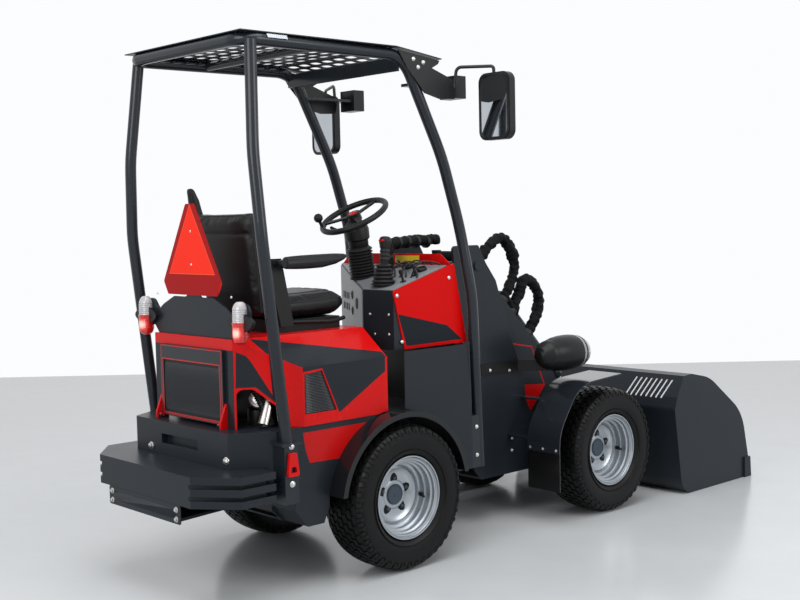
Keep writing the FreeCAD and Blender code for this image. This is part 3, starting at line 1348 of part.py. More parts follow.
def make_headlights():
    """An arm from each tower plate that carries a domed headlight with its lens."""
    y = D.tower_y + D.gap
    low = as_size(690)
    arm = new_body("light_arm_right")
    pad(arm, "XY_Plane",
        [(as_size(70), -y - 8), (as_size(70), -y), (as_size(324), -y), (as_size(400), -y - 92),
         (as_size(440), -y - 158), (as_size(432), -y - 162), (as_size(392), -y - 98), (as_size(320), -y - 8)],
        53, offset=low)
    dome = new_body("headlight_dome_right", 0, -y - 158, 772)
    sketch = draw_outline(new_sketch(dome, "XY_Plane"), [
        (as_size(306), as_size(0)), (as_size(306), as_size(34)), (as_size(350), as_size(66)),
        (as_size(430), as_size(80)), (as_size(572), as_size(78)), (as_size(588), as_size(62)),
        (as_size(588), as_size(0))], {1: 20, 2: 40, 3: 60, 4: 14})
    revolution = dome.newObject("PartDesign::Revolution", "revolution")
    revolution.Profile = sketch
    revolution.ReferenceAxis = (sketch, ["H_Axis"])
    pair("headlights", fuse("headlight_right", [arm, dome]))
    lens = new_body("headlight_lens_right", 0, -y - 158, 772)
    sketch = draw_outline(new_sketch(lens, "XY_Plane"), [
        (588 + D.gap, as_size(0)), (588 + D.gap, as_size(60)), (as_size(606), as_size(54)),
        (as_size(618), as_size(30)), (as_size(620), as_size(0))], {2: 12})
    revolution = lens.newObject("PartDesign::Revolution", "revolution")
    revolution.Profile = sketch
    revolution.ReferenceAxis = (sketch, ["H_Axis"])
    pair("headlight_lenses", lens)


make_front_chassis()
make_front_fenders()
make_headlights()


# ---------------------------------------------------------------- boom, cylinders, tool

def make_boom():
    """A box boom with a knee: two side plates, a top plate and a bottom plate that leaves room for
    the lift cylinder; a lug on top carries the tilt cylinder."""
    body = new_body("boom")
    px, pz = D.boom_pivot_x, D.boom_pivot_z
    cx, cz = D.coupler_pin_x, D.coupler_pin_z
    outline = [(px - 45, pz - 42), (px - 45, pz + 45), (px + 51, pz + 45), (px + 530, pz - 430),
               (px + 590, pz - 505), (px + 780, pz - 800), (cx - 10, cz + 50), (cx + 46, cz + 34),
               (cx + 46, cz - 44), (cx - 90, cz - 38), (px + 600, pz - 780), (px + 450, pz - 760),
               (px + 361, pz - 602), (px + 230, pz - 370), (px - 11, pz - 95)]
    pad(body, "XZ_Plane", list(reversed(outline)), D.boom_half * 2, symmetric=True,
        rounds={14: 25, 13: 44, 12: 30, 8: 36, 7: 36, 3: 60, 11: 60, 10: 90})
    inner = (D.boom_half - D.boom_wall) * 2
    wall = D.boom_wall * 1.3
    cavity = [(px - 130, pz + 90), (px + 10, pz + 90), (px + 44, pz + 45), (px + 51 - wall, pz + 45 - wall),
              (px + 530 - wall, pz - 430 - wall), (px + 590 - wall, pz - 505 - wall),
              (px + 700 - wall, pz - 675 - wall), (px + 730, pz - 640), (cx + 100, cz + 300), (cx + 100, cz - 100),
              (cx - 90, cz - 38 + wall), (px + 600 + 4, pz - 780 + wall), (px + 450 + wall, pz - 760 + wall),
              (px + 361 + wall, pz - 602 + 8), (px + 330, pz - 470), (px + 180, pz - 470), (px - 130, pz - 130)]
    pocket(body, "XZ_Plane", list(reversed(cavity)), inner, symmetric=True)
    bore(body, "XZ_Plane", px, pz, D.boom_pin + D.pin_play, D.boom_half * 2 + 20, symmetric=True)
    disc(body, "XZ_Plane", cx, cz, D.boom_pin, (D.boom_half + 17) * 2, symmetric=True)
    twin_pads(body,
              [(D.tilt_base_x - 60, D.tilt_base_z - 60), (D.tilt_base_x + 60, D.tilt_base_z - 180),
               (D.tilt_base_x + 30, D.tilt_base_z + 22), (D.tilt_base_x - 26, D.tilt_base_z + 24)],
              12, D.tilt_bore + 3, rounds={2: 18, 3: 18})
    disc(body, "XZ_Plane", D.tilt_base_x, D.tilt_base_z, 11, (D.tilt_bore + 14) * 2, symmetric=True)
    finish("boom", body)


def cylinder_pair(label, start, end, bore_radius, rod_radius, barrel_share, retract, upright):
    """A hydraulic cylinder from its barrel pin to its rod eye, in the plane given by upright.

    Barrel and rod are turned about their common axis, then get a cross-drilled eye each."""
    (x1, y1, z1), (x2, y2, z2) = start, end
    length = distance(x1, z1, x2, z2) if upright else distance(x1, y1, x2, y2)
    if upright:
        degrees = math.degrees(math.atan2((z2 - z1).value, (x2 - x1).value))
        text = f"atan2({(z2 - z1).text}; {(x2 - x1).text})"
        axis = Vector(0, -1, 0)
        if degrees < 0:
            axis, degrees, text = Vector(0, 1, 0), -degrees, f"-1 * {text}"
        eye_plane = "XZ_Plane"
    else:
        degrees = math.degrees(math.atan2((y2 - y1).value, (x2 - x1).value))
        text = f"atan2({(y2 - y1).text}; {(x2 - x1).text})"
        axis = Vector(0, 0, 1)
        eye_plane = "XY_Plane"
    barrel_end = length * barrel_share
    pin = 13 if upright else D.steer_rod.value
    if label == "tilt":
        pin = 11
    eye_radius = D.steer_bore - 2 if label == "steer" else bore_radius * 0.9

    def make(name, outline, at, half):
        body = new_body(name, x1, y1, z1)
        sketch = draw_outline(new_sketch(body, "XY_Plane"), outline)
        revolution = body.newObject("PartDesign::Revolution", "revolution")
        revolution.Profile = sketch
        revolution.ReferenceAxis = (sketch, ["H_Axis"])
        disc(body, eye_plane, at, 0, eye_radius, half * 2, symmetric=True)
        body.Placement.Rotation = FreeCAD.Rotation(axis, degrees)
        body.setExpression("Placement.Rotation.Angle", text)
        return body

    neck = bore_radius * 0.8
    sleeve = rod_radius + 0.4
    cap = bore_radius + 6
    barrel = make(f"{label}_cylinder_barrel", [
        (neck, as_size(0)), (neck + 12, bore_radius), (barrel_end - 34, bore_radius),
        (barrel_end - 32, cap), (barrel_end, cap), (barrel_end, sleeve), (neck + 40, sleeve),
        (neck + 40, as_size(0))], as_size(0), bore_radius + 2 if upright else D.eye_half)
    bore(barrel, eye_plane, 0, 0, pin + 0.3, 100, symmetric=True)
    finish(f"{label}_cylinder_barrel", barrel)
    rod = make(f"{label}_cylinder_rod", [
        (neck + 55 + retract, as_size(0)), (neck + 55 + retract, rod_radius), (length - neck, rod_radius),
        (length - neck, as_size(0))], length, D.eye_half - 0.5)
    if label == "lift":
        disc(rod, eye_plane, length, 0, 15, (D.boom_half - D.boom_wall - 2) * 2, symmetric=True)
    finish(f"{label}_cylinder_rod", rod)


def make_coupler():
    """The quick coupler frame: a sloping front plate, two outer cheeks at the boom pin and two
    inner lugs at the tilt rod."""
    body = new_body("quick_coupler")
    cx, cz = D.coupler_pin_x, D.coupler_pin_z
    slope = (D.bucket_heel_x - D.bucket_back_x) / (D.bucket_back_z - D.bucket_low_z)

    def front_at(height):
        """Face of the bucket's back plate at a height, less the seating gap."""
        return D.bucket_back_x + (D.bucket_back_z - height) * slope - D.gap * 2

    top, low = D.bucket_back_z - 6, D.bucket_back_z - 336
    pad(body, "XZ_Plane",
        [(front_at(low) - 14, low), (front_at(low), low), (front_at(top), top), (front_at(top) - 14, top)],
        D.boom_half * 2 + 44, symmetric=True)
    for start in (D.boom_half + 4, -D.boom_half - 18):
        pad(body, "XZ_Plane",
            [(cx - 40, cz - 36), (front_at(cz - 70) - 6, cz - 70), (front_at(cz + 110) - 6, cz + 110),
             (cx - 34, cz + 42)],
            14, offset=start, rounds={0: 24, 3: 24})
    for start in (-D.eye_half - 16, D.eye_half + 4):
        pad(body, "XZ_Plane",
            [(D.tilt_eye_x - 26, D.tilt_eye_z - 22), (D.tilt_eye_x + 16, D.tilt_eye_z - 60),
             (front_at(D.tilt_eye_z - 80) - 6, D.tilt_eye_z - 80), (front_at(top) - 6, top),
             (D.tilt_eye_x - 20, D.tilt_eye_z + 26)],
            12, offset=start, rounds={0: 16, 4: 16})
    bore(body, "XZ_Plane", cx, cz, D.boom_pin + D.pin_play, D.boom_half * 2 + 60, symmetric=True)
    finish("quick_coupler", body)


def make_bucket():
    """A general-purpose bucket: rolled shell, side cheeks, thick cutting edge."""
    body = new_body("bucket")
    low, wall = D.bucket_low_z, D.bucket_wall
    heel, back_x, back_z = D.bucket_heel_x, D.bucket_back_x, D.bucket_back_z
    top_x, top_z, lip = D.bucket_top_x, D.bucket_top_z, D.bucket_lip_x
    pad(body, "XZ_Plane",
        [(heel, low), (lip, low), (lip, low + 4), (lip - 19, D.bucket_cheek_z),
         (lip - 78, top_z - 252), (top_x + 160, top_z - 34), (top_x, top_z), (back_x + 79, top_z - 4),
         (back_x + 22, back_z + 60), (back_x, back_z)],
        D.bucket_half * 2, symmetric=True, rounds={0: 96, 4: 260, 5: 280, 9: 40})
    pocket(body, "XZ_Plane",
           [(heel + 7, low + wall), (lip + 60, low + wall), (lip + 60, top_z + 80),
            (top_x + 40, top_z + 80), (top_x + 1, top_z - wall), (back_x + 84, top_z - 4 - wall),
            (back_x + 30, back_z + 58), (back_x + 9, back_z)],
           (D.bucket_half - wall) * 2, symmetric=True, rounds={0: 88, 7: 32})
    pad(body, "XZ_Plane",
        [(lip - 160, low), (lip, low), (lip - 2, low + 6), (lip - 24, low + D.edge_wall),
         (lip - 160, low + D.edge_wall)],
        D.bucket_half * 2, symmetric=True)
    twin_pads(body, [(lip - 66, low), (lip - 4, low), (lip - 12, D.bucket_cheek_z - 4), (lip - 66, D.bucket_cheek_z - 4)],
              12, D.bucket_half - 2)
    slots = new_sketch(body, "YZ_Plane", back_x - 10)
    for side in (-1, 1):
        for index in range(8):
            inner = D.bucket_slot_y + D.bucket_slot_pitch * index
            outline = [(inner, top_z - 118), (inner + D.bucket_slot_width, top_z - 118),
                       (inner + D.bucket_slot_width + 38, top_z - 28), (inner + 38, top_z - 28)]
            draw_outline(slots, [(a * side, b) for a, b in (outline if side > 0 else reversed(outline))])
    extrude(body, "Pocket", slots, 110, backwards=True)
    finish("bucket", body)


make_boom()
zero = as_size(0)
cylinder_pair("lift", (D.lift_base_x, zero, D.lift_base_z), (D.lift_eye_x, zero, D.lift_eye_z),
              D.lift_bore, D.lift_rod, 0.83, D.lift_retract, True)
cylinder_pair("tilt", (D.tilt_base_x, zero, D.tilt_base_z), (D.tilt_eye_x, zero, D.tilt_eye_z),
              D.tilt_bore, D.tilt_rod, 0.72, D.tilt_retract, True)
cylinder_pair("steer", (D.steer_rear_x, D.steer_rear_y, D.steer_z),
              (D.steer_front_x, D.steer_front_y, D.steer_z), D.steer_bore, D.steer_rod, 0.62,
              D.steer_retract, False)
make_coupler()
make_bucket()


# ---------------------------------------------------------------- hoses

def make_hoses():
    """The sleeved hose bundle from the console; it turns down along the steering axis, below which a
    second bundle leads to the port block inside the tower. Two loops lie on the boom."""
    top = D.tower_top_z + 22
    split = D.tower_top_z - 22
    start = as_size(-395)
    rear = tube("console_hose", [
        (start, as_size(-96), deck_height(start) - 14), (start + 4, as_size(-90), top - 20),
        (start + 70, as_size(-64), top), (as_size(-160), as_size(-12), top), (zero, zero, top),
        (zero, zero, split + D.gap * 2)], D.hose_radius, [30, 60, 300, 24])
    foot = under_deck("hose_foot", D.footwell_top_z, D.gap)
    finish("hose_bundle_rear", cut("hose_bundle_rear", rear, foot))
    side = D.tower_y - D.tower_wall - D.hose_radius - 5
    front = tube("hose_bundle_front", [
        (zero, zero, split), (zero, zero, split - 26), (as_size(-5), -side, split - 26),
        (as_size(-5), -side, D.port_block_z + D.gap)], D.hose_radius, [24, 40])
    finish("hose_bundle_front", front)


def make_boom_hoses():
    """Two hose loops in front of the boom pivot: each rises square from the boom's top plate and
    comes back to it lower down."""
    rise, run = 475 / 674.6, 479 / 674.6
    x, z = D.boom_pivot_x + 51, D.boom_pivot_z + 45

    def above_plate(along, height):
        return (x + along * run + height * rise, -D.boom_hose_y, z - along * rise + height * run)

    upper = tube("upper_loop", [
        above_plate(as_size(76), D.gap), above_plate(as_size(76), 146), above_plate(as_size(131), 271),
        above_plate(as_size(262), 246), above_plate(as_size(330), 128), above_plate(as_size(330), D.gap)],
        D.hose_radius, [60, 60, 60, 60])
    lower = tube("lower_loop", [
        above_plate(as_size(414), D.gap), above_plate(as_size(414), 100), above_plate(as_size(356), 221),
        above_plate(as_size(438), 275), above_plate(as_size(580), 230), above_plate(as_size(580), D.gap)],
        D.hose_radius, [60, 50, 60, 60])
    finish("boom_hoses", fuse("boom_hoses", [upper, lower]))


make_hoses()
make_boom_hoses()


# ---------------------------------------------------------------- build, test, write

doc.recompute()
faults = []
for piece in doc.Objects:
    state = " ".join(piece.State)
    if "Invalid" in state or "Error" in state:
        faults.append(f"{piece.Name} {piece.Label}: {state}")
for piece in NODES:
    if piece.Shape.isNull() or not piece.Shape.isValid() or not piece.Shape.Solids:
        faults.append(f"{piece.Label}: bad shape")
if faults:
    raise RuntimeError("\n".join(faults))

os.makedirs("parts", exist_ok=True)
for piece in NODES:
    piece.Shape.exportStep(f"parts/{piece.Label}.step")
    print(f"{piece.Label}: {len(piece.Shape.Solids)} solid(s), {piece.Shape.Volume / 1e6:.3f} litres")
print(f"{len(NODES)} sub-parts")
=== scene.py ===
"""Looks of a compact articulated wheel loader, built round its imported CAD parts."""
import json
import math

import bmesh
import bpy
import numpy as np
from mathutils import Matrix, Vector


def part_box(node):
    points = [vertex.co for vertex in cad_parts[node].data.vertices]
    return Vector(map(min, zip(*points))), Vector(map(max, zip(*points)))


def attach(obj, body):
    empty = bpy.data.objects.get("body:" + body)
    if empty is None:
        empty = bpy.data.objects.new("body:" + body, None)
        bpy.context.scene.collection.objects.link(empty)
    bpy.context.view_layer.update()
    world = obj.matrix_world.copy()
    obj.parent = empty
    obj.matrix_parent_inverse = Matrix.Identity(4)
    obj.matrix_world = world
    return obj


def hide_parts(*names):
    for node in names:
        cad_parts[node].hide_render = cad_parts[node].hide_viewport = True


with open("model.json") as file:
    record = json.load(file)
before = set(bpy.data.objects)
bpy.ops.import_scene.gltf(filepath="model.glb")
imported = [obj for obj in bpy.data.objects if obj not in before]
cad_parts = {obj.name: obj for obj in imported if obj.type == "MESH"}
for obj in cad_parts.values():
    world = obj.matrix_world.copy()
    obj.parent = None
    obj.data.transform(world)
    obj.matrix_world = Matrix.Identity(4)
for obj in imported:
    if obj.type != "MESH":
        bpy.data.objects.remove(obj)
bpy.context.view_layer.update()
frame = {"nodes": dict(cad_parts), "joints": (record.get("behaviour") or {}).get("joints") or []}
NODES = frame["nodes"]
PIVOT_X = next(joint["pos_m"][0] for joint in frame["joints"] if joint["name"] == "articulation")


def at(x, y, z):
    """A place given in metres from the steering pivot, in the frame's own metres."""
    return Vector((x + PIVOT_X, y, z))


# ------------------------------------------------------------------ camera
# The eye of a visitor who stands behind the machine's right-hand corner, at chest height, with a
# medium-long lens.

VIEW_YAW = 0.8285


def put(name, data):
    """A new object in the scene."""
    made = bpy.data.objects.new(name, data)
    bpy.context.scene.collection.objects.link(made)
    return made


def stand_camera(x, y, z, yaw, pitch, roll, lens):
    """The camera at a place, turned by three angles."""
    data = bpy.data.cameras.new("visitor_eye")
    data.lens = lens
    data.clip_end = 60
    eye = put("visitor_eye", data)
    aim = Matrix.Rotation(yaw - math.pi / 2, 4, "Z") @ Matrix.Rotation(math.pi / 2 + pitch, 4, "X")
    eye.matrix_world = Matrix.Translation((x, y, z)) @ aim @ Matrix.Rotation(roll, 4, "Z")
    bpy.context.scene.camera = eye


stand_camera(PIVOT_X - 3.9084, -4.0025, 1.423, VIEW_YAW, -0.0677, -0.0216, 53.826)


# ------------------------------------------------------------------ floor and light
# A sealed pale grey showroom floor with a faint sheen, and three large soft lamps over it. The
# white surroundings are the world behind.

def node_of(tree, kind, inputs=None, **settings):
    """One shader or geometry node with its settings and inputs; a socket as input is wired."""
    node = tree.nodes.new(kind)
    for key, value in settings.items():
        setattr(node, key, value)
    for key, value in (inputs or {}).items():
        if isinstance(value, bpy.types.NodeSocket):
            tree.links.new(value, node.inputs[key])
        else:
            node.inputs[key].default_value = value
    return node


def calculated(tree, operation, first, second=0.0):
    """The value that a Math node gives."""
    return node_of(tree, "ShaderNodeMath", {0: first, 1: second}, operation=operation).outputs["Value"]


def mixed(tree, share, low, high):
    """Low where the share is 0 and high where it is 1, as a colour."""
    return node_of(tree, "ShaderNodeMix", {"Factor": share, "A": low, "B": high},
                   data_type="RGBA").outputs["Result"]


def new_material(name):
    """A material with a Principled shader on its output, and the object's own coordinates in it."""
    material = bpy.data.materials.new(name)
    material.use_nodes = True
    tree = material.node_tree
    tree.nodes.clear()
    shader = node_of(tree, "ShaderNodeBsdfPrincipled")
    node_of(tree, "ShaderNodeOutputMaterial", {"Surface": shader.outputs["BSDF"]})
    return material, tree, shader, node_of(tree, "ShaderNodeTexCoord").outputs["Object"]


def lay_floor(half):
    """A square floor, turned so that its far edge lies across the view."""
    material, tree, shader, place = new_material("sealed_floor")
    cloud = node_of(tree, "ShaderNodeTexNoise", {"Vector": place, "Scale": 0.9, "Detail": 6.0,
                                                 "Roughness": 0.62}).outputs["Fac"]
    gloss = node_of(tree, "ShaderNodeMapRange", {"Value": cloud, "To Min": 0.12, "To Max": 0.28})
    tree.links.new(mixed(tree, cloud, (0.50, 0.52, 0.535, 1), (0.66, 0.68, 0.69, 1)),
                   shader.inputs["Base Color"])
    tree.links.new(gloss.outputs["Result"], shader.inputs["Roughness"])
    mesh = bpy.data.meshes.new("floor")
    reach = half * math.sqrt(2)
    turns = [VIEW_YAW + math.pi / 4 + k * math.pi / 2 for k in range(4)]
    mesh.from_pydata([(reach * math.cos(a), reach * math.sin(a), 0) for a in turns], [], [(0, 1, 2, 3)])
    mesh.materials.append(material)
    put("floor", mesh)


def light_room():
    """A bright world to look at, dimmer as a light, and three round lamps aimed at the machine."""
    world = bpy.data.worlds.new("white_room")
    bpy.context.scene.world = world
    world.use_nodes = True
    tree = world.node_tree
    tree.nodes.clear()
    path = node_of(tree, "ShaderNodeLightPath")
    shown = calculated(tree, "MAXIMUM", path.outputs["Is Camera Ray"], path.outputs["Is Glossy Ray"])
    strength = node_of(tree, "ShaderNodeMapRange", {"Value": shown, "To Min": 0.42, "To Max": 1.0})
    room = node_of(tree, "ShaderNodeBackground",
                   {"Color": (0.97, 0.98, 1.0, 1), "Strength": strength.outputs["Result"]})
    node_of(tree, "ShaderNodeOutputWorld", {"Surface": room.outputs["Background"]})
    for name, spot, size, watts in (("lamp_over", (-1.0, -1.2, 5.2), 5.0, 190),
                                    ("lamp_rear", (-5.5, -1.5, 3.0), 3.2, 110),
                                    ("lamp_side", (1.5, -5.5, 3.2), 3.6, 120)):
        data = bpy.data.lights.new(name, "AREA")
        data.shape = "DISK"
        data.size = size
        data.energy = watts
        lamp = put(name, data)
        lamp.location = spot
        lamp.rotation_euler = (Vector((0.0, 0.0, 0.7)) - Vector(spot)).to_track_quat("-Z", "Y").to_euler()


bpy.context.scene.view_settings.view_transform = "Standard"
lay_floor(5.65)
light_room()


# ------------------------------------------------------------------ coated steel
# Chassis, tower, boom, roll-over frame, weights and bucket are welded plate with a satin
# blue-black powder coat, which has a fine orange peel and is rubbed a little along its edges.

def weathered(tree, shader, place, roughness, peel, edge):
    """Clouded gloss, a fine surface grain and softened edges on a shader."""
    broad = node_of(tree, "ShaderNodeTexNoise",
                    {"Vector": place, "Scale": 3.0, "Detail": 5.0, "Roughness": 0.6})
    gloss = node_of(tree, "ShaderNodeMapRange", {"Value": broad.outputs["Fac"], "To Min": roughness - 0.06,
                                                 "To Max": roughness + 0.06})
    fine = node_of(tree, "ShaderNodeTexNoise", {"Vector": place, "Scale": peel[0], "Detail": 2.0})
    rounded = node_of(tree, "ShaderNodeBevel", {"Radius": edge}, samples=4)
    bump = node_of(tree, "ShaderNodeBump", {"Strength": peel[1], "Distance": 0.001,
                                            "Height": fine.outputs["Fac"],
                                            "Normal": rounded.outputs["Normal"]})
    tree.links.new(gloss.outputs["Result"], shader.inputs["Roughness"])
    tree.links.new(bump.outputs["Normal"], shader.inputs["Normal"])
    return broad.outputs["Fac"]


def shade(colour, factor):
    """A colour made lighter or darker, with its alpha."""
    return tuple(min(1.0, c * factor) for c in colour) + (1.0,)


def coating(name, colour, roughness, metallic=0.0, coat=0.0, peel=(420, 0.06), cloud=0.08, edge=0.0016,
            fields=(), gloss=0.22):
    """A paint or plastic finish in one colour, with painted fields of other colours over it."""
    material, tree, shader, place = new_material(name)
    cloudy = weathered(tree, shader, place, roughness, peel, edge)
    tone = mixed(tree, cloudy, shade(colour, 1 - cloud), shade(colour, 1 + cloud))
    if fields:
        pivot_place = node_of(tree, "ShaderNodeMapping",
                              {"Vector": place, "Location": (-PIVOT_X, 0.0, 0.0)})
        for share, other in fields:
            over = mixed(tree, cloudy, shade(other, 1 - cloud), shade(other, 1 + cloud))
            tone = mixed(tree, share(tree, pivot_place.outputs["Vector"]), tone, over)
    tree.links.new(tone, shader.inputs["Base Color"])
    shader.inputs["Specular IOR Level"].default_value = 0.5 if metallic > 0.3 else gloss
    shader.inputs["Metallic"].default_value = metallic
    shader.inputs["Coat Weight"].default_value = coat
    shader.inputs["Coat Roughness"].default_value = 0.08
    return material


def dress(material, *names):
    """Gives the named CAD nodes a material."""
    for name in names:
        for slot in NODES[name].material_slots:
            slot.material = material


COAT_COLOUR = (0.0125, 0.0165, 0.0215)
RED_COLOUR = (0.58, 0.0030, 0.0028)
DARK_COAT = coating("blue_black_coat", COAT_COLOUR, 0.34)
ROPS_COAT = coating("rops_coat", COAT_COLOUR, 0.22, coat=0.16, peel=(420, 0.03), gloss=0.25)
dress(ROPS_COAT, "rops_frame")
dress(DARK_COAT, "rear_wheel_motors", "front_wheel_motors", "front_chassis", "counterweight",
      "bumper_weights",
      "lamp_plate", "bucket", "quick_coupler", "lift_cylinder_barrel", "tilt_cylinder_barrel",
      "steer_cylinder_barrel", "engine_block")


# ------------------------------------------------------------------ painted fields
# The hood, door, console, boom and tank sides are sprayed red and blue-black in straight-edged
# fields, some of them framed by a thin red line. All name and number plates are left bare.

def inside(corners, axes="xz", grow=0.0):
    """A field that is 1 within a convex outline on two axes, moved outwards by grow, and 0 beyond it."""
    first, second = ("xyz".index(axis) for axis in axes)
    area = sum(a[0] * b[1] - b[0] * a[1] for a, b in zip(corners, corners[1:] + corners[:1]))
    sign = 1 if area > 0 else -1

    def share(tree, place):
        result = None
        for (x1, y1), (x2, y2) in zip(corners, corners[1:] + corners[:1]):
            length = math.hypot(x2 - x1, y2 - y1)
            nx, ny = sign * (y1 - y2) / length, sign * (x2 - x1) / length
            direction = [0.0, 0.0, 0.0]
            direction[first], direction[second] = nx, ny
            reach = node_of(tree, "ShaderNodeVectorMath", {0: place, 1: direction}, operation="DOT_PRODUCT")
            test = calculated(tree, "GREATER_THAN", reach.outputs["Value"], nx * x1 + ny * y1 - grow)
            result = test if result is None else calculated(tree, "MULTIPLY", result, test)
        return result
    return share


def joined(operation, *fields):
    """Fields put together by an operation of the Math node."""
    def share(tree, place):
        result = fields[0](tree, place)
        for field in fields[1:]:
            result = calculated(tree, operation, result, field(tree, place))
        return result
    return share


def either(*fields):
    """1 where any of the fields is 1."""
    return joined("MAXIMUM", *fields)


def both(*fields):
    """1 where all of the fields are 1."""
    return joined("MULTIPLY", *fields)


def line_round(corners, axes="xz", outer=0.008, inner=0.0):
    """The line that runs round a convex outline, from inner to outer beyond it."""
    return joined("SUBTRACT", inside(corners, axes, outer), inside(corners, axes, inner))


def part_of(tree, place, axis):
    """One coordinate of a place."""
    return node_of(tree, "ShaderNodeSeparateXYZ", {"Vector": place}).outputs[axis.upper()]


def beyond(axis, value, above=True):
    """1 where the place along an axis is above a value, or below it."""
    operation = "GREATER_THAN" if above else "LESS_THAN"
    return lambda tree, place: calculated(tree, operation, part_of(tree, place, axis), value)


def either_side(value):
    """1 further than a value from the machine's middle plane."""
    return lambda tree, place: calculated(
        tree, "GREATER_THAN", calculated(tree, "ABSOLUTE", part_of(tree, place, "y")), value)


REAR_FACE = -1.3485
CORNER_HOLE = [(-1.342, 0.60), (-1.194, 0.60), (-1.194, 0.702), (-1.284, 0.792), (-1.342, 0.792)]
side_dark = either(
    inside([(-1.043, 0.868), (-0.711, 0.868), (-0.711, 0.812), (-0.951, 0.676), (-0.958, 0.676)]),
    inside([(-1.131, 0.868), (-1.036, 0.868), (-1.030, 0.856), (-1.131, 0.849)]))
shoulder_dark = inside([(-1.271, 0.980), (-0.705, 0.888), (-0.705, 0.867), (-1.131, 0.867),
                        (-1.245, 0.927)])
chamfer_dark = either(
    inside([(-1.340, 0.936), (-1.308, 0.920), (-1.293, 0.897), (-1.221, 0.752), (-1.177, 0.60),
            (-1.349, 0.60)]),
    inside([(-1.238, 0.945), (-1.199, 0.915), (-1.177, 0.62), (-1.221, 0.62)]))
on_chamfer = both(beyond("x", REAR_FACE), beyond("x", -1.131, above=False))
on_rear = both(beyond("x", REAR_FACE, above=False), beyond("x", -1.3515))
hood_dark = either(
    both(beyond("x", -1.131), either_side(0.414), side_dark),
    both(beyond("x", REAR_FACE), either_side(0.262), shoulder_dark),
    both(on_chamfer, either_side(0.272), chamfer_dark),
    both(on_rear, beyond("z", 0.941, above=False)))
hood_line = both(either_side(0.24), line_round(CORNER_HOLE, outer=0.007, inner=-0.02))
HOOD_COAT = coating("hood_coat", RED_COLOUR, 0.27, coat=0.12, peel=(600, 0.02), cloud=0.05, gloss=0.12,
                    fields=[(hood_dark, COAT_COLOUR), (hood_line, RED_COLOUR)])
dress(HOOD_COAT, "engine_hood")

DOOR_PANEL = [(-0.212, 0.660), (0.212, 0.660), (0.212, 0.934), (-0.212, 0.934)]
GRILLE_HOLE = [(-0.198, 0.668), (0.198, 0.668), (0.198, 0.878), (-0.198, 0.878)]
DOOR_COAT = coating("door_coat", COAT_COLOUR, 0.3, coat=0.12, peel=(600, 0.02),
                    fields=[(line_round(DOOR_PANEL, "yz", 0.003, 0.0), RED_COLOUR),
                            (line_round(GRILLE_HOLE, "yz", 0.006, 0.002), RED_COLOUR)])
dress(DOOR_COAT, "radiator_door")

CONSOLE_FIELD = [(-0.581, 1.030), (-0.296, 0.963), (-0.207, 0.896), (-0.535, 0.893)]
CONSOLE_COAT = coating("console_coat", RED_COLOUR, 0.3, peel=(600, 0.02), cloud=0.05, gloss=0.08,
                       fields=[(both(either_side(0.3552), inside(CONSOLE_FIELD)), COAT_COLOUR)])
dress(CONSOLE_COAT, "console_panels")

BOOM_FRAME = [(0.283, 0.830), (0.528, 0.785), (0.622, 0.581), (0.421, 0.598)]
BOOM_FIELD = [(0.415, 0.604), (0.622, 0.585), (0.514, 0.463), (0.434, 0.538)]
BOOM_COAT = coating("boom_coat", COAT_COLOUR, 0.32,
                    fields=[(both(either_side(0.1195), line_round(BOOM_FRAME, "xz", 0.0, -0.006)),
                             RED_COLOUR),
                            (both(either_side(0.1195), inside(BOOM_FIELD)), RED_COLOUR)])
dress(BOOM_COAT, "boom")

TANK_FIELD = [(-1.134, 0.616), (-0.784, 0.616), (-0.873, 0.490), (-1.105, 0.496), (-1.124, 0.549)]
TANK_COAT = coating("tank_coat", COAT_COLOUR, 0.34,
                    fields=[(both(either_side(0.4145), inside(TANK_FIELD)), shade(RED_COLOUR, 0.85)[:3])])
dress(TANK_COAT, "rear_chassis")

ARCH_RADIUS, ARCH_X, ARCH_Z = 0.350, -0.666, 0.297
PLATE_REAR, PLATE_FRONT, PLATE_TOP = -1.0135, -0.745, 0.6385


def to_mesh(name, form):
    """A closed mesh from a bmesh form, its doubles merged and its faces outwards."""
    bmesh.ops.remove_doubles(form, verts=form.verts, dist=1e-6)
    bmesh.ops.recalc_face_normals(form, faces=form.faces)
    mesh = bpy.data.meshes.new(name)
    form.to_mesh(mesh)
    form.free()
    return mesh


def finish_piece(name, shape, material, body, smooth=38):
    """Puts a form or a finished mesh in the scene on its body, smooth except at its sharp edges."""
    mesh = shape if isinstance(shape, bpy.types.Mesh) else to_mesh(name, shape)
    mesh.materials.clear()
    mesh.materials.append(material)
    mesh.shade_smooth()
    mesh.set_sharp_from_angle(angle=math.radians(smooth))
    made = put(name, mesh)
    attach(made, body)
    return made


def bridge(form, first, second):
    """Faces between two closed rings of as many corners."""
    for i in range(len(first)):
        j = (i + 1) % len(first)
        form.faces.new((first[i], first[j], second[j], second[i]))


def slab(form, low, high):
    """A closed plate between two outlines of as many corners."""
    bottom, top = ([form.verts.new(corner) for corner in outline] for outline in (low, high))
    form.faces.new(list(reversed(bottom)))
    form.faces.new(top)
    bridge(form, bottom, top)


def arch_edge(x):
    """The body side's lower edge, along the mudguard's arch."""
    return ARCH_Z + math.sqrt(ARCH_RADIUS ** 2 - (x - ARCH_X) ** 2)


def arch_plate(name, side):
    """The body side between the tank's front, the hood and the mudguard's arch."""
    outline = [(PLATE_REAR, 0.3355), (PLATE_REAR, PLATE_TOP), (PLATE_FRONT, PLATE_TOP)]
    for k in range(1, 12):
        x = PLATE_FRONT + (PLATE_REAR - PLATE_FRONT) * k / 12
        outline.append((x, arch_edge(x)))
    form = bmesh.new()
    slab(form, *([at(x, side * y, z) for x, z in outline] for y in (0.4105, 0.4148)))
    finish_piece("arch_plate_" + name, form, TANK_COAT, "rear_frame", 0)


SIDES = (("right", -1), ("left", 1))
for name, side in SIDES:
    arch_plate(name, side)

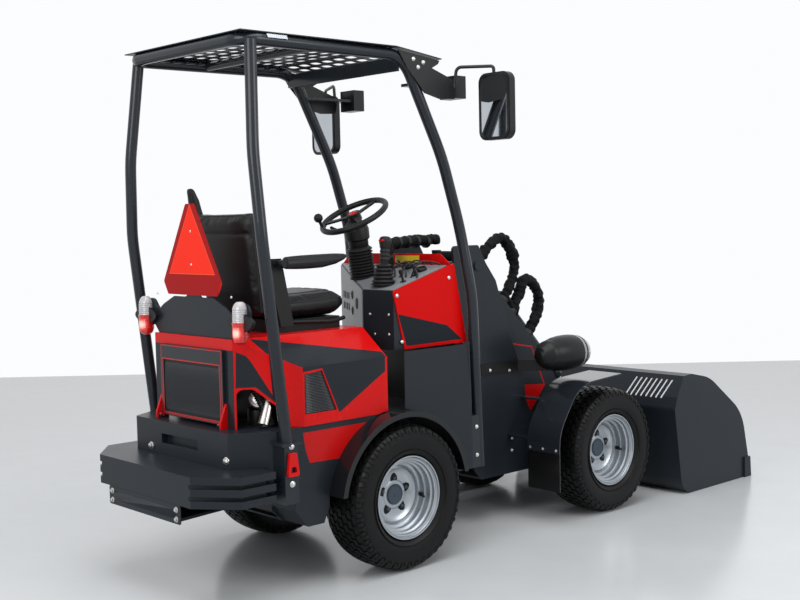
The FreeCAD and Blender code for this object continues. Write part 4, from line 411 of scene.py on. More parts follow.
RING_COAT = coating("ring_coat", RED_COLOUR, 0.33, peel=(600, 0.03))
dress(RING_COAT, "tie_down_rings")


# ------------------------------------------------------------------ tyres
# Turf tyres of carbon-filled rubber: a smooth round carcass with moulded rings on its side walls
# and seven staggered rows of wavy tread blocks, forty-four round the tyre.

def turn(form, profile, place, steps=64, ring=False):
    """Turns a profile of (radius, height) about the local Z of a place; a ring closes on itself."""
    rows = []
    for radius, height in profile:
        count = 1 if radius < 1e-6 else steps
        rows.append([form.verts.new(place @ Vector((radius * math.cos(math.tau * i / steps),
                                                    radius * math.sin(math.tau * i / steps), height)))
                     for i in range(count)])
    for lower, upper in zip(rows, rows[1:] + rows[:1] if ring else rows[1:]):
        if len(lower) == len(upper) == steps:
            bridge(form, lower, upper)
        elif len(upper) == steps:
            for i in range(steps):
                form.faces.new((lower[0], upper[(i + 1) % steps], upper[i]))
        elif len(lower) == steps:
            for i in range(steps):
                form.faces.new((lower[i], lower[(i + 1) % steps], upper[0]))


def smooth_profile(points, steps=5):
    """A closed profile with its corners cut round, by cutting each corner several times."""
    for _ in range(steps):
        cut = []
        for (ax, ay), (bx, by) in zip(points, points[1:] + points[:1]):
            cut += [(ax * 0.75 + bx * 0.25, ay * 0.75 + by * 0.25),
                    (ax * 0.25 + bx * 0.75, ay * 0.25 + by * 0.75)]
        points = cut
    return points


def facing(direction, spot):
    """A place whose local Z points along a direction."""
    return Matrix.Translation(spot) @ Vector(direction).to_track_quat("Z", "Y").to_matrix().to_4x4()


def tree_for(name, sizes, objects=(), materials=("Material",)):
    """A Geometry Nodes tree with a mesh in and out, and named inputs for sizes, objects, materials."""
    tree = bpy.data.node_groups.new(name, "GeometryNodeTree")
    tree.interface.new_socket("Geometry", in_out="INPUT", socket_type="NodeSocketGeometry")
    for label, value in sizes.items():
        kind = "NodeSocketInt" if isinstance(value, int) else "NodeSocketFloat"
        tree.interface.new_socket(label, in_out="INPUT", socket_type=kind).default_value = value
    for label in objects:
        tree.interface.new_socket(label, in_out="INPUT", socket_type="NodeSocketObject")
    for label in materials:
        tree.interface.new_socket(label, in_out="INPUT", socket_type="NodeSocketMaterial")
    tree.interface.new_socket("Geometry", in_out="OUTPUT", socket_type="NodeSocketGeometry")
    return tree, tree.nodes.new("NodeGroupInput"), tree.nodes.new("NodeGroupOutput")


def close_tree(tree, start, end, shape):
    """Ends a tree with its instances made real and its material set."""
    real = node_of(tree, "GeometryNodeRealizeInstances", {"Geometry": shape})
    coated = node_of(tree, "GeometryNodeSetMaterial",
                     {"Geometry": real.outputs["Geometry"], "Material": start.outputs["Material"]})
    tree.links.new(coated.outputs["Geometry"], end.inputs["Geometry"])


def evaluated_mesh(holder):
    """The plain mesh that an object's modifiers make now."""
    return bpy.data.meshes.new_from_object(holder.evaluated_get(bpy.context.evaluated_depsgraph_get()))


def grown_by(tree, base, inputs, name):
    """The plain mesh that a tree makes of a base mesh with these named inputs."""
    holder = put(name + "_base", base)
    modifier = holder.modifiers.new(name, "NODES")
    modifier.node_group = tree
    for item in tree.interface.items_tree:
        if item.in_out == "INPUT" and item.name in inputs:
            modifier[item.identifier] = inputs[item.name]
    bpy.context.view_layer.update()
    made = evaluated_mesh(holder)
    holder.modifiers.clear()
    bpy.data.objects.remove(holder)
    return made


def rubber(name, colour, roughness=0.62, gloss=0.14):
    """Dull moulded rubber with a faint bloom."""
    material, tree, shader, place = new_material(name)
    cloudy = weathered(tree, shader, place, roughness, (260.0, 0.25), 0.001)
    tree.links.new(mixed(tree, cloudy, shade(colour, 0.8), shade(colour, 1.35)),
                   shader.inputs["Base Color"])
    shader.inputs["Specular IOR Level"].default_value = gloss
    return material


TYRE_RUBBER = rubber("tyre_rubber", (0.0040, 0.0041, 0.0044), 0.40, gloss=0.16)
TREAD_DEPTH = 0.009
ROWS = 7
PITCHES = 44

pitch_tree, begin, end = tree_for("tread_round_tyre", {"Pitches": PITCHES}, objects=("Pitch",))
circle = node_of(pitch_tree, "GeometryNodeMeshCircle",
                 {"Vertices": begin.outputs["Pitches"], "Radius": 0.001})
count = node_of(pitch_tree, "GeometryNodeInputIndex")
step = calculated(pitch_tree, "DIVIDE", math.tau, begin.outputs["Pitches"])
spin = node_of(pitch_tree, "ShaderNodeCombineXYZ",
               {"Y": calculated(pitch_tree, "MULTIPLY", count.outputs["Index"], step)})
pitch = node_of(pitch_tree, "GeometryNodeObjectInfo", {"Object": begin.outputs["Pitch"]})
centred = node_of(pitch_tree, "GeometryNodeSetPosition",
                  {"Geometry": circle.outputs["Mesh"], "Position": (0.0, 0.0, 0.0)})
placed = node_of(pitch_tree, "GeometryNodeInstanceOnPoints",
                 {"Points": centred.outputs["Geometry"], "Instance": pitch.outputs["Geometry"],
                  "Rotation": spin.outputs["Vector"]})
close_tree(pitch_tree, begin, end, placed.outputs["Instances"])


def crown(across, half, radius):
    """Radius of the tread at a place across it: nearly flat, falling towards the shoulders."""
    return radius - 0.010 * abs(across / half) ** 3


def tread_pitch(half, radius):
    """One pitch of tread: a wavy block for each row, staggered from row to row."""
    form = bmesh.new()
    width = 2 * half / ROWS
    reach = math.tau / PITCHES
    for row in range(ROWS):
        middle = -half + (row + 0.5) * width
        shift = reach * 0.5 * (row % 2)
        lean = 0.16 * (1 if row % 2 else -1)
        outline = []
        for side in (-1, 1):
            for k in range(5):
                t = -0.5 + k / 4 if side < 0 else 0.5 - k / 4
                wave = 0.10 * math.sin(math.pi * 2 * t) * width
                outline.append((t, side * 0.40 * width + wave))
        blocks = []
        for draw, long, drop in ((1.0, 0.80, TREAD_DEPTH + 0.002), (0.93, 0.74, 0.0)):
            corners = []
            for t, across in outline:
                top = crown(middle + across, half, radius) - drop
                turn_by = shift + (t * long + lean * across / width) * reach
                corners.append((top * math.sin(turn_by), middle + across * draw, top * math.cos(turn_by)))
            blocks.append(corners)
        slab(form, *blocks)
    for side in (-1, 1):
        for shift, depth in ((0.0, 0.034), (0.5, 0.022)):
            angles = [(shift - 0.20) * reach, (shift + 0.20) * reach]
            shell = []
            for lift in (0.0, 0.0022):
                for y, low in ((half * 0.97, 0.0045), (half + 0.0085, depth * 0.5), (half + 0.0098, depth)):
                    for a in angles:
                        r = radius - low - 0.0075 + lift
                        shell.append(form.verts.new((r * math.sin(a), side * (y + lift * 0.9 - 0.0005),
                                                     r * math.cos(a))))
            inner, outer = shell[:6], shell[6:]
            for ring in (inner, outer):
                form.faces.new((ring[0], ring[1], ring[3], ring[2]))
                form.faces.new((ring[2], ring[3], ring[5], ring[4]))
            border = (0, 1, 3, 5, 4, 2)
            for i in range(6):
                a, b = border[i], border[(i + 1) % 6]
                form.faces.new((inner[a], inner[b], outer[b], outer[a]))
    return put("tread_pitch", to_mesh("tread_pitch", form))


def mirrored(points):
    """The other half of a profile, in the order that goes on from the first."""
    return [(radius, -height) for radius, height in reversed(points)]


def make_tyre(corner):
    """A carcass with rings on its walls, and the tread round it, as one piece."""
    low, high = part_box("tyre_" + corner)
    middle = (low + high) / 2
    radius, bulge = (high.z - low.z) / 2, (high.y - low.y) / 2
    half = bulge - 0.012
    root = radius - TREAD_DEPTH
    skin = [(0.1545, bulge - 0.026), (0.172, bulge - 0.026), (0.180, bulge - 0.012), (0.206, bulge - 0.002),
            (0.240, bulge), (root - 0.024, bulge - 0.002), (root - 0.006, bulge - 0.010),
            (root, half * 0.8)]
    lining = [(0.1545, 0.044 - bulge), (0.22, 0.030 - bulge), (root - 0.02, -half * 0.7)]
    profile = smooth_profile(skin + [(root + 0.002, 0.0)] + mirrored(skin) + lining + mirrored(lining), 2)
    form = bmesh.new()
    axle = facing((0, 1, 0), middle)
    turn(form, profile, axle, 96, ring=True)
    for side in (-1, 1):
        for ring_radius in (0.196, 0.252, 0.262):
            turn(form, [(ring_radius - 0.0022, side * (bulge - 0.006)),
                        (ring_radius, side * (bulge + 0.0001)),
                        (ring_radius + 0.0022, side * (bulge - 0.006))], axle, 96, ring=True)
    tread = grown_by(pitch_tree, bpy.data.meshes.new("none"), {"Pitch": PITCH, "Material": TYRE_RUBBER},
                     "tread")
    tread.transform(Matrix.Translation(middle))
    form.from_mesh(tread)
    mesh = bpy.data.meshes.new("tyre")
    bmesh.ops.recalc_face_normals(form, faces=form.faces)
    form.to_mesh(mesh)
    form.free()
    made = finish_piece("treaded_tyre_" + corner, mesh, TYRE_RUBBER, "wheel_" + corner, 30)
    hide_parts("tyre_" + corner)


tyre_low, tyre_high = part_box("tyre_front_left")
PITCH = tread_pitch((tyre_high.y - tyre_low.y) / 2 - 0.012, (tyre_high.z - tyre_low.z) / 2)
CORNERS = ("front_left", "front_right", "rear_left", "rear_right")
for corner in CORNERS:
    make_tyre(corner)
bpy.data.objects.remove(PITCH)


# ------------------------------------------------------------------ rims
# Dished steel rims with a silver coat and pressed ribs, five deep wheel bolt pockets round a blue-grey
# hub cap, and a rubber valve on the well. The pockets are flat black plates under the nuts: painted shade
# that stands for their depth.

SILVER = coating("silver_coat", (0.36, 0.39, 0.42), 0.30, metallic=0.75, peel=(900, 0.05), cloud=0.04)
CAP_COAT = coating("hub_cap_coat", (0.055, 0.075, 0.10), 0.4)
# Painted shade: this black colours the flat plates that stand for the deep bolt pockets.
POCKET_SHADE = coating("pocket_painted_shade", (0.006, 0.006, 0.007), 0.6)
VALVE_RUBBER = rubber("valve_rubber", (0.01, 0.01, 0.01))


def rim_profile(radius, half, face):
    """Section of the pressed rim, from its outer flange over the ribs and the well to the inner one."""
    ribs = [(0.018, 0.012), (0.020, 0.024), (0.028, 0.027), (0.029, 0.036), (0.024, 0.040), (0.025, 0.050),
            (0.036, 0.054), (0.037, 0.063), (0.032, 0.067), (0.034, 0.077), (0.046, 0.081), (0.048, 0.087)]
    return ([(radius, half), (radius + 0.001, half - 0.004), (radius - 0.003, half - 0.009)]
            + [(radius - inward, half - depth) for inward, depth in ribs]
            + [(radius - 0.060, face + 0.011), (radius - 0.068, face + 0.006),
               (radius - 0.084, face + 0.001),
               (0.060, face + 0.001), (0.056, face + 0.004), (0.0, face + 0.004), (0.0, face - 0.010),
               (radius - 0.060, face - 0.010), (radius - 0.050, face - 0.006),
               (radius - 0.048, -half * 0.36),
               (radius - 0.022, -half * 0.55), (radius - 0.020, 0.012 - half),
               (radius - 0.003, 0.008 - half),
               (radius, -half), (radius - 0.002, -half), (radius - 0.004, 0.010 - half),
               (radius - 0.0165, 0.016 - half), (radius - 0.0165, half - 0.016),
               (radius - 0.007, half - 0.007), (radius - 0.005, half)])


def prism(form, outline, place, low, high, taper=1.0):
    """A plate of an outline (x, y) between two heights of a place, its top drawn in by taper."""
    slab(form, [place @ Vector((x, y, low)) for x, y in outline],
         [place @ Vector((x * taper, y * taper, high)) for x, y in outline])


def turned_piece(name, profile, place, material, body, steps=40, smooth=38, ring=False):
    """A turned form as a piece of its own."""
    form = bmesh.new()
    turn(form, profile, place, steps, ring)
    return finish_piece(name, form, material, body, smooth)


for corner in CORNERS:
    wheel = "wheel_" + corner
    low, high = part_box("rim_" + corner)
    side = 1 if corner.endswith("left") else -1
    axle = facing((0, side, 0), (low + high) / 2)
    half, radius, face = (high.y - low.y) / 2, (high.z - low.z) / 2, -0.004
    rim = turned_piece("rim_pressing_" + corner, rim_profile(radius, half, face), axle, SILVER, wheel,
                       96, 30, ring=True)
    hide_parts("rim_" + corner)
    turned_piece("hub_cap_" + corner, [(0.0, face - 0.004), (0.043, face - 0.004), (0.043, face + 0.006),
                                       (0.039, face + 0.011), (0.036, face + 0.0115), (0.034, face + 0.009),
                                       (0.010, face + 0.0095), (0.007, face + 0.012), (0.0, face + 0.012)],
                 axle, CAP_COAT, wheel)
    # Flat black plates of painted shade stand for the deep pockets, with a nut on each.
    pocket_shades, nuts = bmesh.new(), bmesh.new()
    for k in range(5):
        spot = axle @ Matrix.Rotation(math.tau * (k + 0.25) / 5, 4, "Z") @ Matrix.Translation((0.070, 0, 0))
        prism(pocket_shades, [(-0.016, -0.017), (-0.008, -0.020), (0.008, -0.016), (0.020, -0.005),
                        (0.020, 0.005),
                        (0.008, 0.016), (-0.008, 0.020), (-0.016, 0.017)], spot, face - 0.002,
              face + 0.0022, 0.94)
        turn(nuts, [(0.0, face), (0.0085, face), (0.0085, face + 0.007), (0.006, face + 0.0095),
                    (0.0, face + 0.0095)], spot @ Matrix.Translation((-0.003, 0, 0)), 6)
    finish_piece("nut_pockets_" + corner, pocket_shades, POCKET_SHADE, wheel)
    finish_piece("wheel_nuts_" + corner, nuts, CAP_COAT, wheel)
    stem = axle @ Matrix.Translation((radius - 0.045, -0.018, half - 0.062)) @ Matrix.Rotation(-0.5, 4, "Y")
    turned_piece("valve_" + corner, [(0.0, -0.012), (0.0085, -0.012), (0.0085, 0.0), (0.0055, 0.006),
                                     (0.0045, 0.026), (0.0055, 0.027), (0.0055, 0.036), (0.0, 0.037)],
                 stem, VALVE_RUBBER, wheel, 16)


# ------------------------------------------------------------------ bolts and rivets
# Zinc-plated hexagon bolts with washers hold the weights, feet, arms, brackets and mudguards; low
# button heads hold the console's sheets and the triangle.

ZINC = coating("zinc_plate", (0.60, 0.60, 0.58), 0.30, metallic=0.9, peel=(1500, 0.1), cloud=0.12,
               edge=0.0004)

spot_tree, begin, end = tree_for("pieces_on_spots", {"Size": 1.0}, objects=("Unit",))
way, roll, stretch = (node_of(spot_tree, "GeometryNodeInputNamedAttribute", {"Name": label},
                              data_type="FLOAT_VECTOR")
                      for label in ("facing", "across", "stretch"))
upright = node_of(spot_tree, "FunctionNodeAlignRotationToVector", {"Vector": way.outputs["Attribute"]},
                  axis="Z")
aligned = node_of(spot_tree, "FunctionNodeAlignRotationToVector",
                  {"Rotation": upright.outputs["Rotation"], "Vector": roll.outputs["Attribute"]},
                  axis="X", pivot_axis="Z")
sized = node_of(spot_tree, "ShaderNodeVectorMath",
                {0: stretch.outputs["Attribute"], "Scale": begin.outputs["Size"]}, operation="SCALE")
unit = node_of(spot_tree, "GeometryNodeObjectInfo", {"Object": begin.outputs["Unit"]})
on_spots = node_of(spot_tree, "GeometryNodeInstanceOnPoints",
                   {"Points": begin.outputs["Geometry"], "Instance": unit.outputs["Geometry"],
                    "Rotation": aligned.outputs["Rotation"], "Scale": sized.outputs["Vector"]})
close_tree(spot_tree, begin, end, on_spots.outputs["Instances"])


def unit_object(name, form):
    """A small form that a tree repeats; it is taken away once the tree has run."""
    return put(name, to_mesh(name, form))


def repeated(name, unit, spots, material, body, smooth=38):
    """One piece of a unit form repeated on (place, facing, across, stretch) spots."""
    base = bpy.data.meshes.new(name)
    base.from_pydata([spot[0] for spot in spots], [], [])
    for label, column in (("facing", 1), ("across", 2), ("stretch", 3)):
        values = base.attributes.new(label, "FLOAT_VECTOR", "POINT")
        for item, spot in zip(values.data, spots):
            item.vector = spot[column]
    mesh = grown_by(spot_tree, base, {"Size": 1.0, "Unit": unit, "Material": material}, name)
    return finish_piece(name, mesh, material, body, smooth)


form = bmesh.new()
turn(form, [(0.0, 0.0), (1.0, 0.0), (1.0, 0.18), (0.92, 0.22), (0.0, 0.22)], Matrix.Identity(4), 20)
turn(form, [(0.0, 0.22), (0.70, 0.22), (0.72, 0.30), (0.72, 0.72), (0.60, 0.80), (0.0, 0.80)],
     Matrix.Identity(4), 6)
HEX = unit_object("hexagon_head", form)
form = bmesh.new()
turn(form, [(0.0, 0.0), (1.0, 0.0), (1.0, 0.12), (0.86, 0.36), (0.52, 0.52), (0.40, 0.53), (0.34, 0.30),
            (0.0, 0.30)],
     Matrix.Identity(4), 16)
BUTTON = unit_object("button_head", form)

BACK, FRONT, RIGHT, LEFT, UP = (-1, 0, 0), (1, 0, 0), (0, -1, 0), (0, 1, 0), (0, 0, 1)


def heads(unit_facing, size, *places):
    """Spots for heads of one size and facing; the turn about the bolt differs a little each time."""
    spots = []
    for k, (x, y, z) in enumerate(places):
        across = (0.2 + 0.1 * k, 1, 0.3) if abs(unit_facing[1]) < 0.5 else (1, 0, 0.2 + 0.13 * k)
        spots.append((at(x, y, z), unit_facing, across, (size, size, size)))
    return spots


def paired_heads(size, *places):
    """Heads on the outer faces of both sides, from the places on the right-hand side."""
    return heads(RIGHT, size, *places) + heads(LEFT, size, *[(x, -y, z) for x, y, z in places])


hex_rear = (heads(BACK, 0.015, (-1.420, 0.212, 0.532), (-1.420, -0.318, 0.539))
            + paired_heads(0.012, (-1.247, -0.488, 0.590), (-1.247, -0.488, 0.448))
            + paired_heads(0.009, (-0.186, -0.420, 0.514), (-0.186, -0.420, 0.390)))
repeated("rear_bolts", HEX, hex_rear, ZINC, "rear_frame")
repeated("front_bolts", HEX, paired_heads(0.008, (0.282, -0.202, 0.372), (0.280, -0.202, 0.314)), ZINC,
         "front_frame")
button_rear = (heads(RIGHT, 0.009, (-0.583, -0.360, 1.106), (-0.278, -0.360, 1.166),
                     (-0.560, -0.360, 0.912))
               + heads(BACK, 0.006, (-0.600, -0.207, 1.025), (-0.600, -0.325, 1.027),
                       (-0.600, -0.236, 0.942), (-0.600, -0.325, 0.945)))
repeated("console_bolts", BUTTON, button_rear, ZINC, "rear_frame")


# ------------------------------------------------------------------ tow hitch
# A flat bar cut from thick plate below the weights, coated like the chassis, with a pair of bolts
# at each end.

def trimmed_copy(node, low, high):
    """A welded copy of a CAD node, held between two corners so that bolt heads have room over it."""
    form = bmesh.new()
    form.from_mesh(NODES[node].data)
    bmesh.ops.remove_doubles(form, verts=form.verts, dist=1e-6)
    for vertex in form.verts:
        vertex.co = [min(max(c, a), b) for c, a, b in zip(vertex.co, low, high)]
    mesh = bpy.data.meshes.new(node)
    form.to_mesh(mesh)
    form.free()
    return mesh


HEAD_ROOM = 0.009
low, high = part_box("tow_hitch")
hitch = finish_piece("hitch_bar", trimmed_copy("tow_hitch", (low.x + HEAD_ROOM, low.y, low.z), high),
                     DARK_COAT, "rear_frame", 30)
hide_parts("tow_hitch")
HITCH_FACE = -1.600 + HEAD_ROOM
hitch_spots = heads(BACK, 0.011, *[(HITCH_FACE, side * 0.234,
                                    z) for z in (0.336, 0.372) for side in (-1, 1)])
repeated("hitch_bolts", HEX, hitch_spots, ZINC, "rear_frame")


# ------------------------------------------------------------------ radiator and side grilles
# Thin pressed fins stand side by side behind the rear door's opening; each side window has a
# louvred grille of black plastic.

GRILLE_BLACK = coating("grille_black", (0.010, 0.011, 0.013), 0.5, peel=(900, 0.1))
FIN_GREY = coating("fin_grey", (0.058, 0.063, 0.070), 0.36, metallic=0.35)
dress(GRILLE_BLACK, "radiator_grille", "side_grilles")
form = bmesh.new()
prism(form, [(-0.5, -0.5), (0.5, -0.5), (0.5, 0.5), (-0.5, 0.5)], Matrix.Identity(4), 0.0, 1.0, 0.45)
FIN = unit_object("fin", form)
low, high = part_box("radiator_grille")
FIN_PITCH = 0.0055
fins = [((low.x + 0.0005, low.y + 0.006 + FIN_PITCH * k, (low.z + high.z) / 2), BACK, UP,
         (high.z - low.z - 0.008, 0.0022, 0.0045))
        for k in range(int((high.y - low.y - 0.012) / FIN_PITCH) + 1)]
repeated("radiator_fins", FIN, fins, FIN_GREY, "radiator_door")
louvres = []
for side in (-1, 1):
    for k in range(26):
        z = 0.691 + 0.0060 * k
        front = -0.968 - 0.070 * (z - 0.686) / 0.162
        louvres.append((at((front - 1.124) / 2, side * 0.4155, z), (0, side, 0.35), (1, 0, 0),
                        (front + 1.124 - 0.010, 0.003, 0.0035)))
repeated("side_louvres", FIN, louvres, FIN_GREY, "rear_frame")


# ------------------------------------------------------------------ engine bay
# Through the open rear corners show the bright tail of the exhaust, black oil filters, a pump
# with its fittings and two corrugated air hoses on the engine.

STEEL = coating("exhaust_steel", (0.55, 0.53, 0.50), 0.24, metallic=1.0, peel=(500, 0.08), cloud=0.2)
BAY_BLACK = coating("bay_black", (0.009, 0.009, 0.010), 0.38, coat=0.08)


def pipe_along(name, points, radius, ripple=0.0, pitch=0.0, sides=20, wall=0.0):
    """A closed tube along a smooth curve through control points, its radius rippled every pitch."""
    curve = bpy.data.curves.new(name, "CURVE")
    curve.dimensions = "3D"
    spline = curve.splines.new("NURBS")
    spline.points.add(len(points) - 1)
    for target, point in zip(spline.points, points):
        target.co = (*point, 1.0)
    spline.order_u = 3
    spline.use_endpoint_u = True
    spline.resolution_u = 24
    holder = put(name, curve)
    path = [vertex.co.copy() for vertex in bpy.data.meshes.new_from_object(holder).vertices]
    bpy.data.objects.remove(holder)
    lengths = [0.0]
    for a, b in zip(path, path[1:]):
        lengths.append(lengths[-1] + (b - a).length)
    total = lengths[-1]
    step = min(pitch / 6, 0.01) if pitch else 0.01
    stations = max(4, int(total / step))
    form, rows, spots, ways, normal = bmesh.new(), [], [], [], None
    for s in range(stations + 1):
        reach = total * s / stations
        k = max(0, min(len(path) - 2, int(np.searchsorted(lengths, reach)) - 1))
        share = (reach - lengths[k]) / max(lengths[k + 1] - lengths[k], 1e-9)
        spot = path[k].lerp(path[k + 1], share)
        way = (path[min(k + 2, len(path) - 1)] - path[max(k - 1, 0)]).normalized()
        if normal is None:
            normal = way.orthogonal().normalized()
        normal = (normal - way * normal.dot(way)).normalized()
        other = way.cross(normal)
        size = radius + (ripple * math.cos(math.tau * reach / pitch) if pitch else 0.0)
        rows.append([form.verts.new(spot + size * (normal * math.cos(math.tau * i / sides)
                                                   + other * math.sin(math.tau * i / sides)))
                     for i in range(sides)])
        spots.append(spot)
        ways.append(way)
    for lower, upper in zip(rows, rows[1:]):
        bridge(form, lower, upper)
    if wall:
        for end, sign in ((0, 1), (-1, -1)):
            middle = spots[end]
            inner = [form.verts.new(middle + (v.co - middle) * (1 - wall / radius)) for v in rows[end]]
            deep = [form.verts.new(v.co + ways[end] * sign * 0.03) for v in inner]
            bridge(form, rows[end], inner)
            bridge(form, inner, deep)
            form.faces.new(deep)
    else:
        form.faces.new(rows[0])
        form.faces.new(rows[-1])
    return to_mesh(name, form)


tail = [at(-1.130, -0.215, 0.800), at(-1.190, -0.290, 0.785), at(-1.222, -0.322, 0.735),
        at(-1.262, -0.335, 0.655)]
finish_piece("exhaust_tail", pipe_along("exhaust_tail", tail, 0.021, wall=0.0015), STEEL, "rear_frame")
for name, side in SIDES:
    air = [at(-1.12, side * 0.12, 0.82), at(-1.20, side * 0.20, 0.84), at(-1.25, side * 0.27, 0.78),
           at(-1.22, side * 0.30, 0.70), at(-1.15, side * 0.26, 0.62)]
    finish_piece("air_hose_" + name, pipe_along("air_hose", air, 0.017, 0.0022, 0.009), BAY_BLACK,
                 "rear_frame")
form = bmesh.new()
pump = facing((-0.7, -0.5, 0.1), at(-1.17, -0.22, 0.735))
turn(form, [(0.0, 0.0), (0.036, 0.0), (0.036, 0.018), (0.032, 0.020), (0.032, 0.060), (0.036, 0.062),
            (0.036, 0.078), (0.030, 0.084), (0.014, 0.086), (0.014, 0.098), (0.0, 0.098)], pump, 28)
for k in range(5):
    turn(form, [(0.0, 0.060), (0.0055, 0.060), (0.0055, 0.084), (0.0, 0.084)],
         pump @ Matrix.Rotation(math.tau * k / 5, 4, "Z") @ Matrix.Translation((0.026, 0, 0)), 6)
finish_piece("pump", form, ZINC, "rear_frame")
form = bmesh.new()
turn(form, [(0.0, 0.0), (0.038, 0.0), (0.040, 0.006), (0.040, 0.072), (0.034, 0.086), (0.022, 0.092),
            (0.022, 0.100), (0.0, 0.100)], facing((0.0, 0.1, -1.0), at(-1.205, -0.225, 0.700)), 32)
turn(form, [(0.0, 0.0), (0.042, 0.0), (0.042, 0.10), (0.030, 0.12), (0.0, 0.12)],
     facing((-0.2, 1.0, 0.0), at(-1.18, 0.15, 0.72)), 28)
finish_piece("oil_filters", form, BAY_BLACK, "rear_frame")


# ------------------------------------------------------------------ lamp plate, tail lamps, triangle
# The tail lamps are upright capsules with a clear ribbed dome over a red lens, on black backs; the
# slow vehicle triangle is a folded sheet with a bright middle and darker reflecting bands, brightened
# by a faint painted red glow.

def lens_material(name, colour, roughness, clear, glow=None):
    """Clear or coloured plastic, lit from within near the given spots."""
    material, tree, shader, place = new_material(name)
    cloudy = weathered(tree, shader, place, roughness, (700, 0.04), 0.0006)
    tree.links.new(mixed(tree, cloudy, shade(colour, 0.9), shade(colour, 1.05)),
                   shader.inputs["Base Color"])
    shader.inputs["Transmission Weight"].default_value = clear
    shader.inputs["Coat Weight"].default_value = 0.6
    if glow:
        nearest = None
        for spot in glow:
            away = node_of(tree, "ShaderNodeVectorMath", {0: place, 1: tuple(spot)}, operation="DISTANCE")
            near = node_of(tree, "ShaderNodeMapRange", {"Value": away.outputs["Value"], "From Min": 0.004,
                                                        "From Max": 0.040, "To Min": 1.0, "To Max": 0.0},
                           interpolation_type="SMOOTHERSTEP").outputs["Result"]
            nearest = near if nearest is None else calculated(tree, "MAXIMUM", nearest, near)
        sharp = calculated(tree, "POWER", nearest, 3.0)
        tree.links.new(mixed(tree, sharp, (0.55, 0.008, 0.006, 1), (1.0, 0.62, 0.50, 1)),
                       shader.inputs["Emission Color"])
        power = node_of(tree, "ShaderNodeMapRange", {"Value": nearest, "To Min": 0.12, "To Max": 1.15})
        tree.links.new(power.outputs["Result"], shader.inputs["Emission Strength"])
    return material


low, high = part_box("tail_lamps")
LAMP_X, LAMP_Y, BULB_Z = -1.352, 0.335, low.z + 0.045
LAMP_BLACK = coating("lamp_black", (0.012, 0.012, 0.013), 0.4)
BLACK_STEEL = coating("black_steel", (0.012, 0.012, 0.013), 0.42, metallic=0.2)
RED_LENS = lens_material("red_lens", (0.50, 0.006, 0.006), 0.12, 0.0,
                         [at(LAMP_X - 0.030, side * LAMP_Y - 0.008, BULB_Z) for side in (-1, 1)])
CLEAR_LENS = lens_material("clear_dome", (0.86, 0.84, 0.86), 0.08, 0.45)
parts = {"red": bmesh.new(), "clear": bmesh.new(), "back": bmesh.new()}
for side in (-1, 1):
    foot = Matrix.Translation(at(LAMP_X, side * LAMP_Y, low.z))
    red = [(0.0, 0.0), (0.014, 0.002), (0.024, 0.010), (0.029, 0.022)]
    for k in range(7):
        red += [(0.0300, 0.028 + 0.0062 * k), (0.0312, 0.0311 + 0.0062 * k)]
    red += [(0.0312, 0.076), (0.0326, 0.078), (0.0326, 0.084), (0.0, 0.084)]
    turn(parts["red"], red, foot, 40)
    clear = [(0.0, 0.084), (0.0305, 0.084)]
    for k in range(6):
        clear += [(0.0292 - 0.0002 * k, 0.089 + 0.008 * k), (0.0305 - 0.0003 * k, 0.093 + 0.008 * k)]
    clear += [(0.0270, 0.1400), (0.0215, 0.1520), (0.0130, 0.1600), (0.0, 0.1625)]
    turn(parts["clear"], clear, foot, 40)
    back = facing((1, 0, 0), at(LAMP_X + 0.003, side * LAMP_Y, low.z + 0.0815))
    shape = []
    for k in range(48):
        a = math.tau * k / 48
        lobe = 1.0 + 0.05 * math.cos(4 * a)
        shape.append((0.0775 * lobe * math.cos(a), 0.035 * math.sin(a) * lobe))
    prism(parts["back"], shape, back, -0.008, 0.012, 0.94)
lamp_red = finish_piece("tail_lens_red", parts["red"], RED_LENS, "rear_frame", 24)
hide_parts("tail_lamps")
finish_piece("tail_dome_clear", parts["clear"], CLEAR_LENS, "rear_frame", 24)
finish_piece("tail_lamp_backs", parts["back"], LAMP_BLACK, "rear_frame")

low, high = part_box("slow_vehicle_triangle")
INNER = [(0.0, high.z - 0.004), (-0.160, low.z + 0.083), (0.160, low.z + 0.083)]
EDGE = [(-0.030, high.z), (0.030, high.z), (high.y, low.z + 0.095), (high.y - 0.05, low.z),
        (low.y + 0.05, low.z), (low.y, low.z + 0.095)]
SIGN = coating("sign_sheet", (0.90, 0.030, 0.012), 0.4, peel=(1800, 0.05), cloud=0.04, gloss=0.1, fields=[
    (joined("SUBTRACT", inside(EDGE, "yz", 0.02), inside(INNER, "yz")), (0.30, 0.003, 0.004)),
    (line_round(INNER, "yz", 0.0015, -0.001), (0.85, 0.12, 0.05))])
# The triangle is no lamp: its faint red glow is painted light that brightens the whole sheet.
SIGN_PAINTED_GLOW = SIGN.node_tree.nodes["Principled BSDF"]
SIGN_PAINTED_GLOW.inputs["Emission Color"].default_value = (0.9, 0.02, 0.01, 1.0)
SIGN_PAINTED_GLOW.inputs["Emission Strength"].default_value = 0.06
dress(SIGN, "slow_vehicle_triangle")
repeated("triangle_rivets", BUTTON, heads(BACK, 0.005, (-1.342, 0.0, 1.392), (-1.342, 0.0, 1.262))
         + heads(BACK, 0.0055, (-1.338, 0.262, 1.142), (-1.338, -0.262, 1.142)), ZINC, "rear_frame")
form = bmesh.new()
prism(form, [(-0.022, -0.060), (0.022, -0.060), (0.022, 0.060), (-0.022, 0.060)],
      facing((1, 0, 0), at(-1.3365, 0.0, 1.300)), -0.001, 0.004)
finish_piece("triangle_stay", form, BLACK_STEEL, "rear_frame")


# ------------------------------------------------------------------ mudguards and floor
# Rear mudguards are rolled black sheet, the front ones gloss-coated sheet with rubber flaps held
# by three bolts; the floor has a ribbed rubber mat.

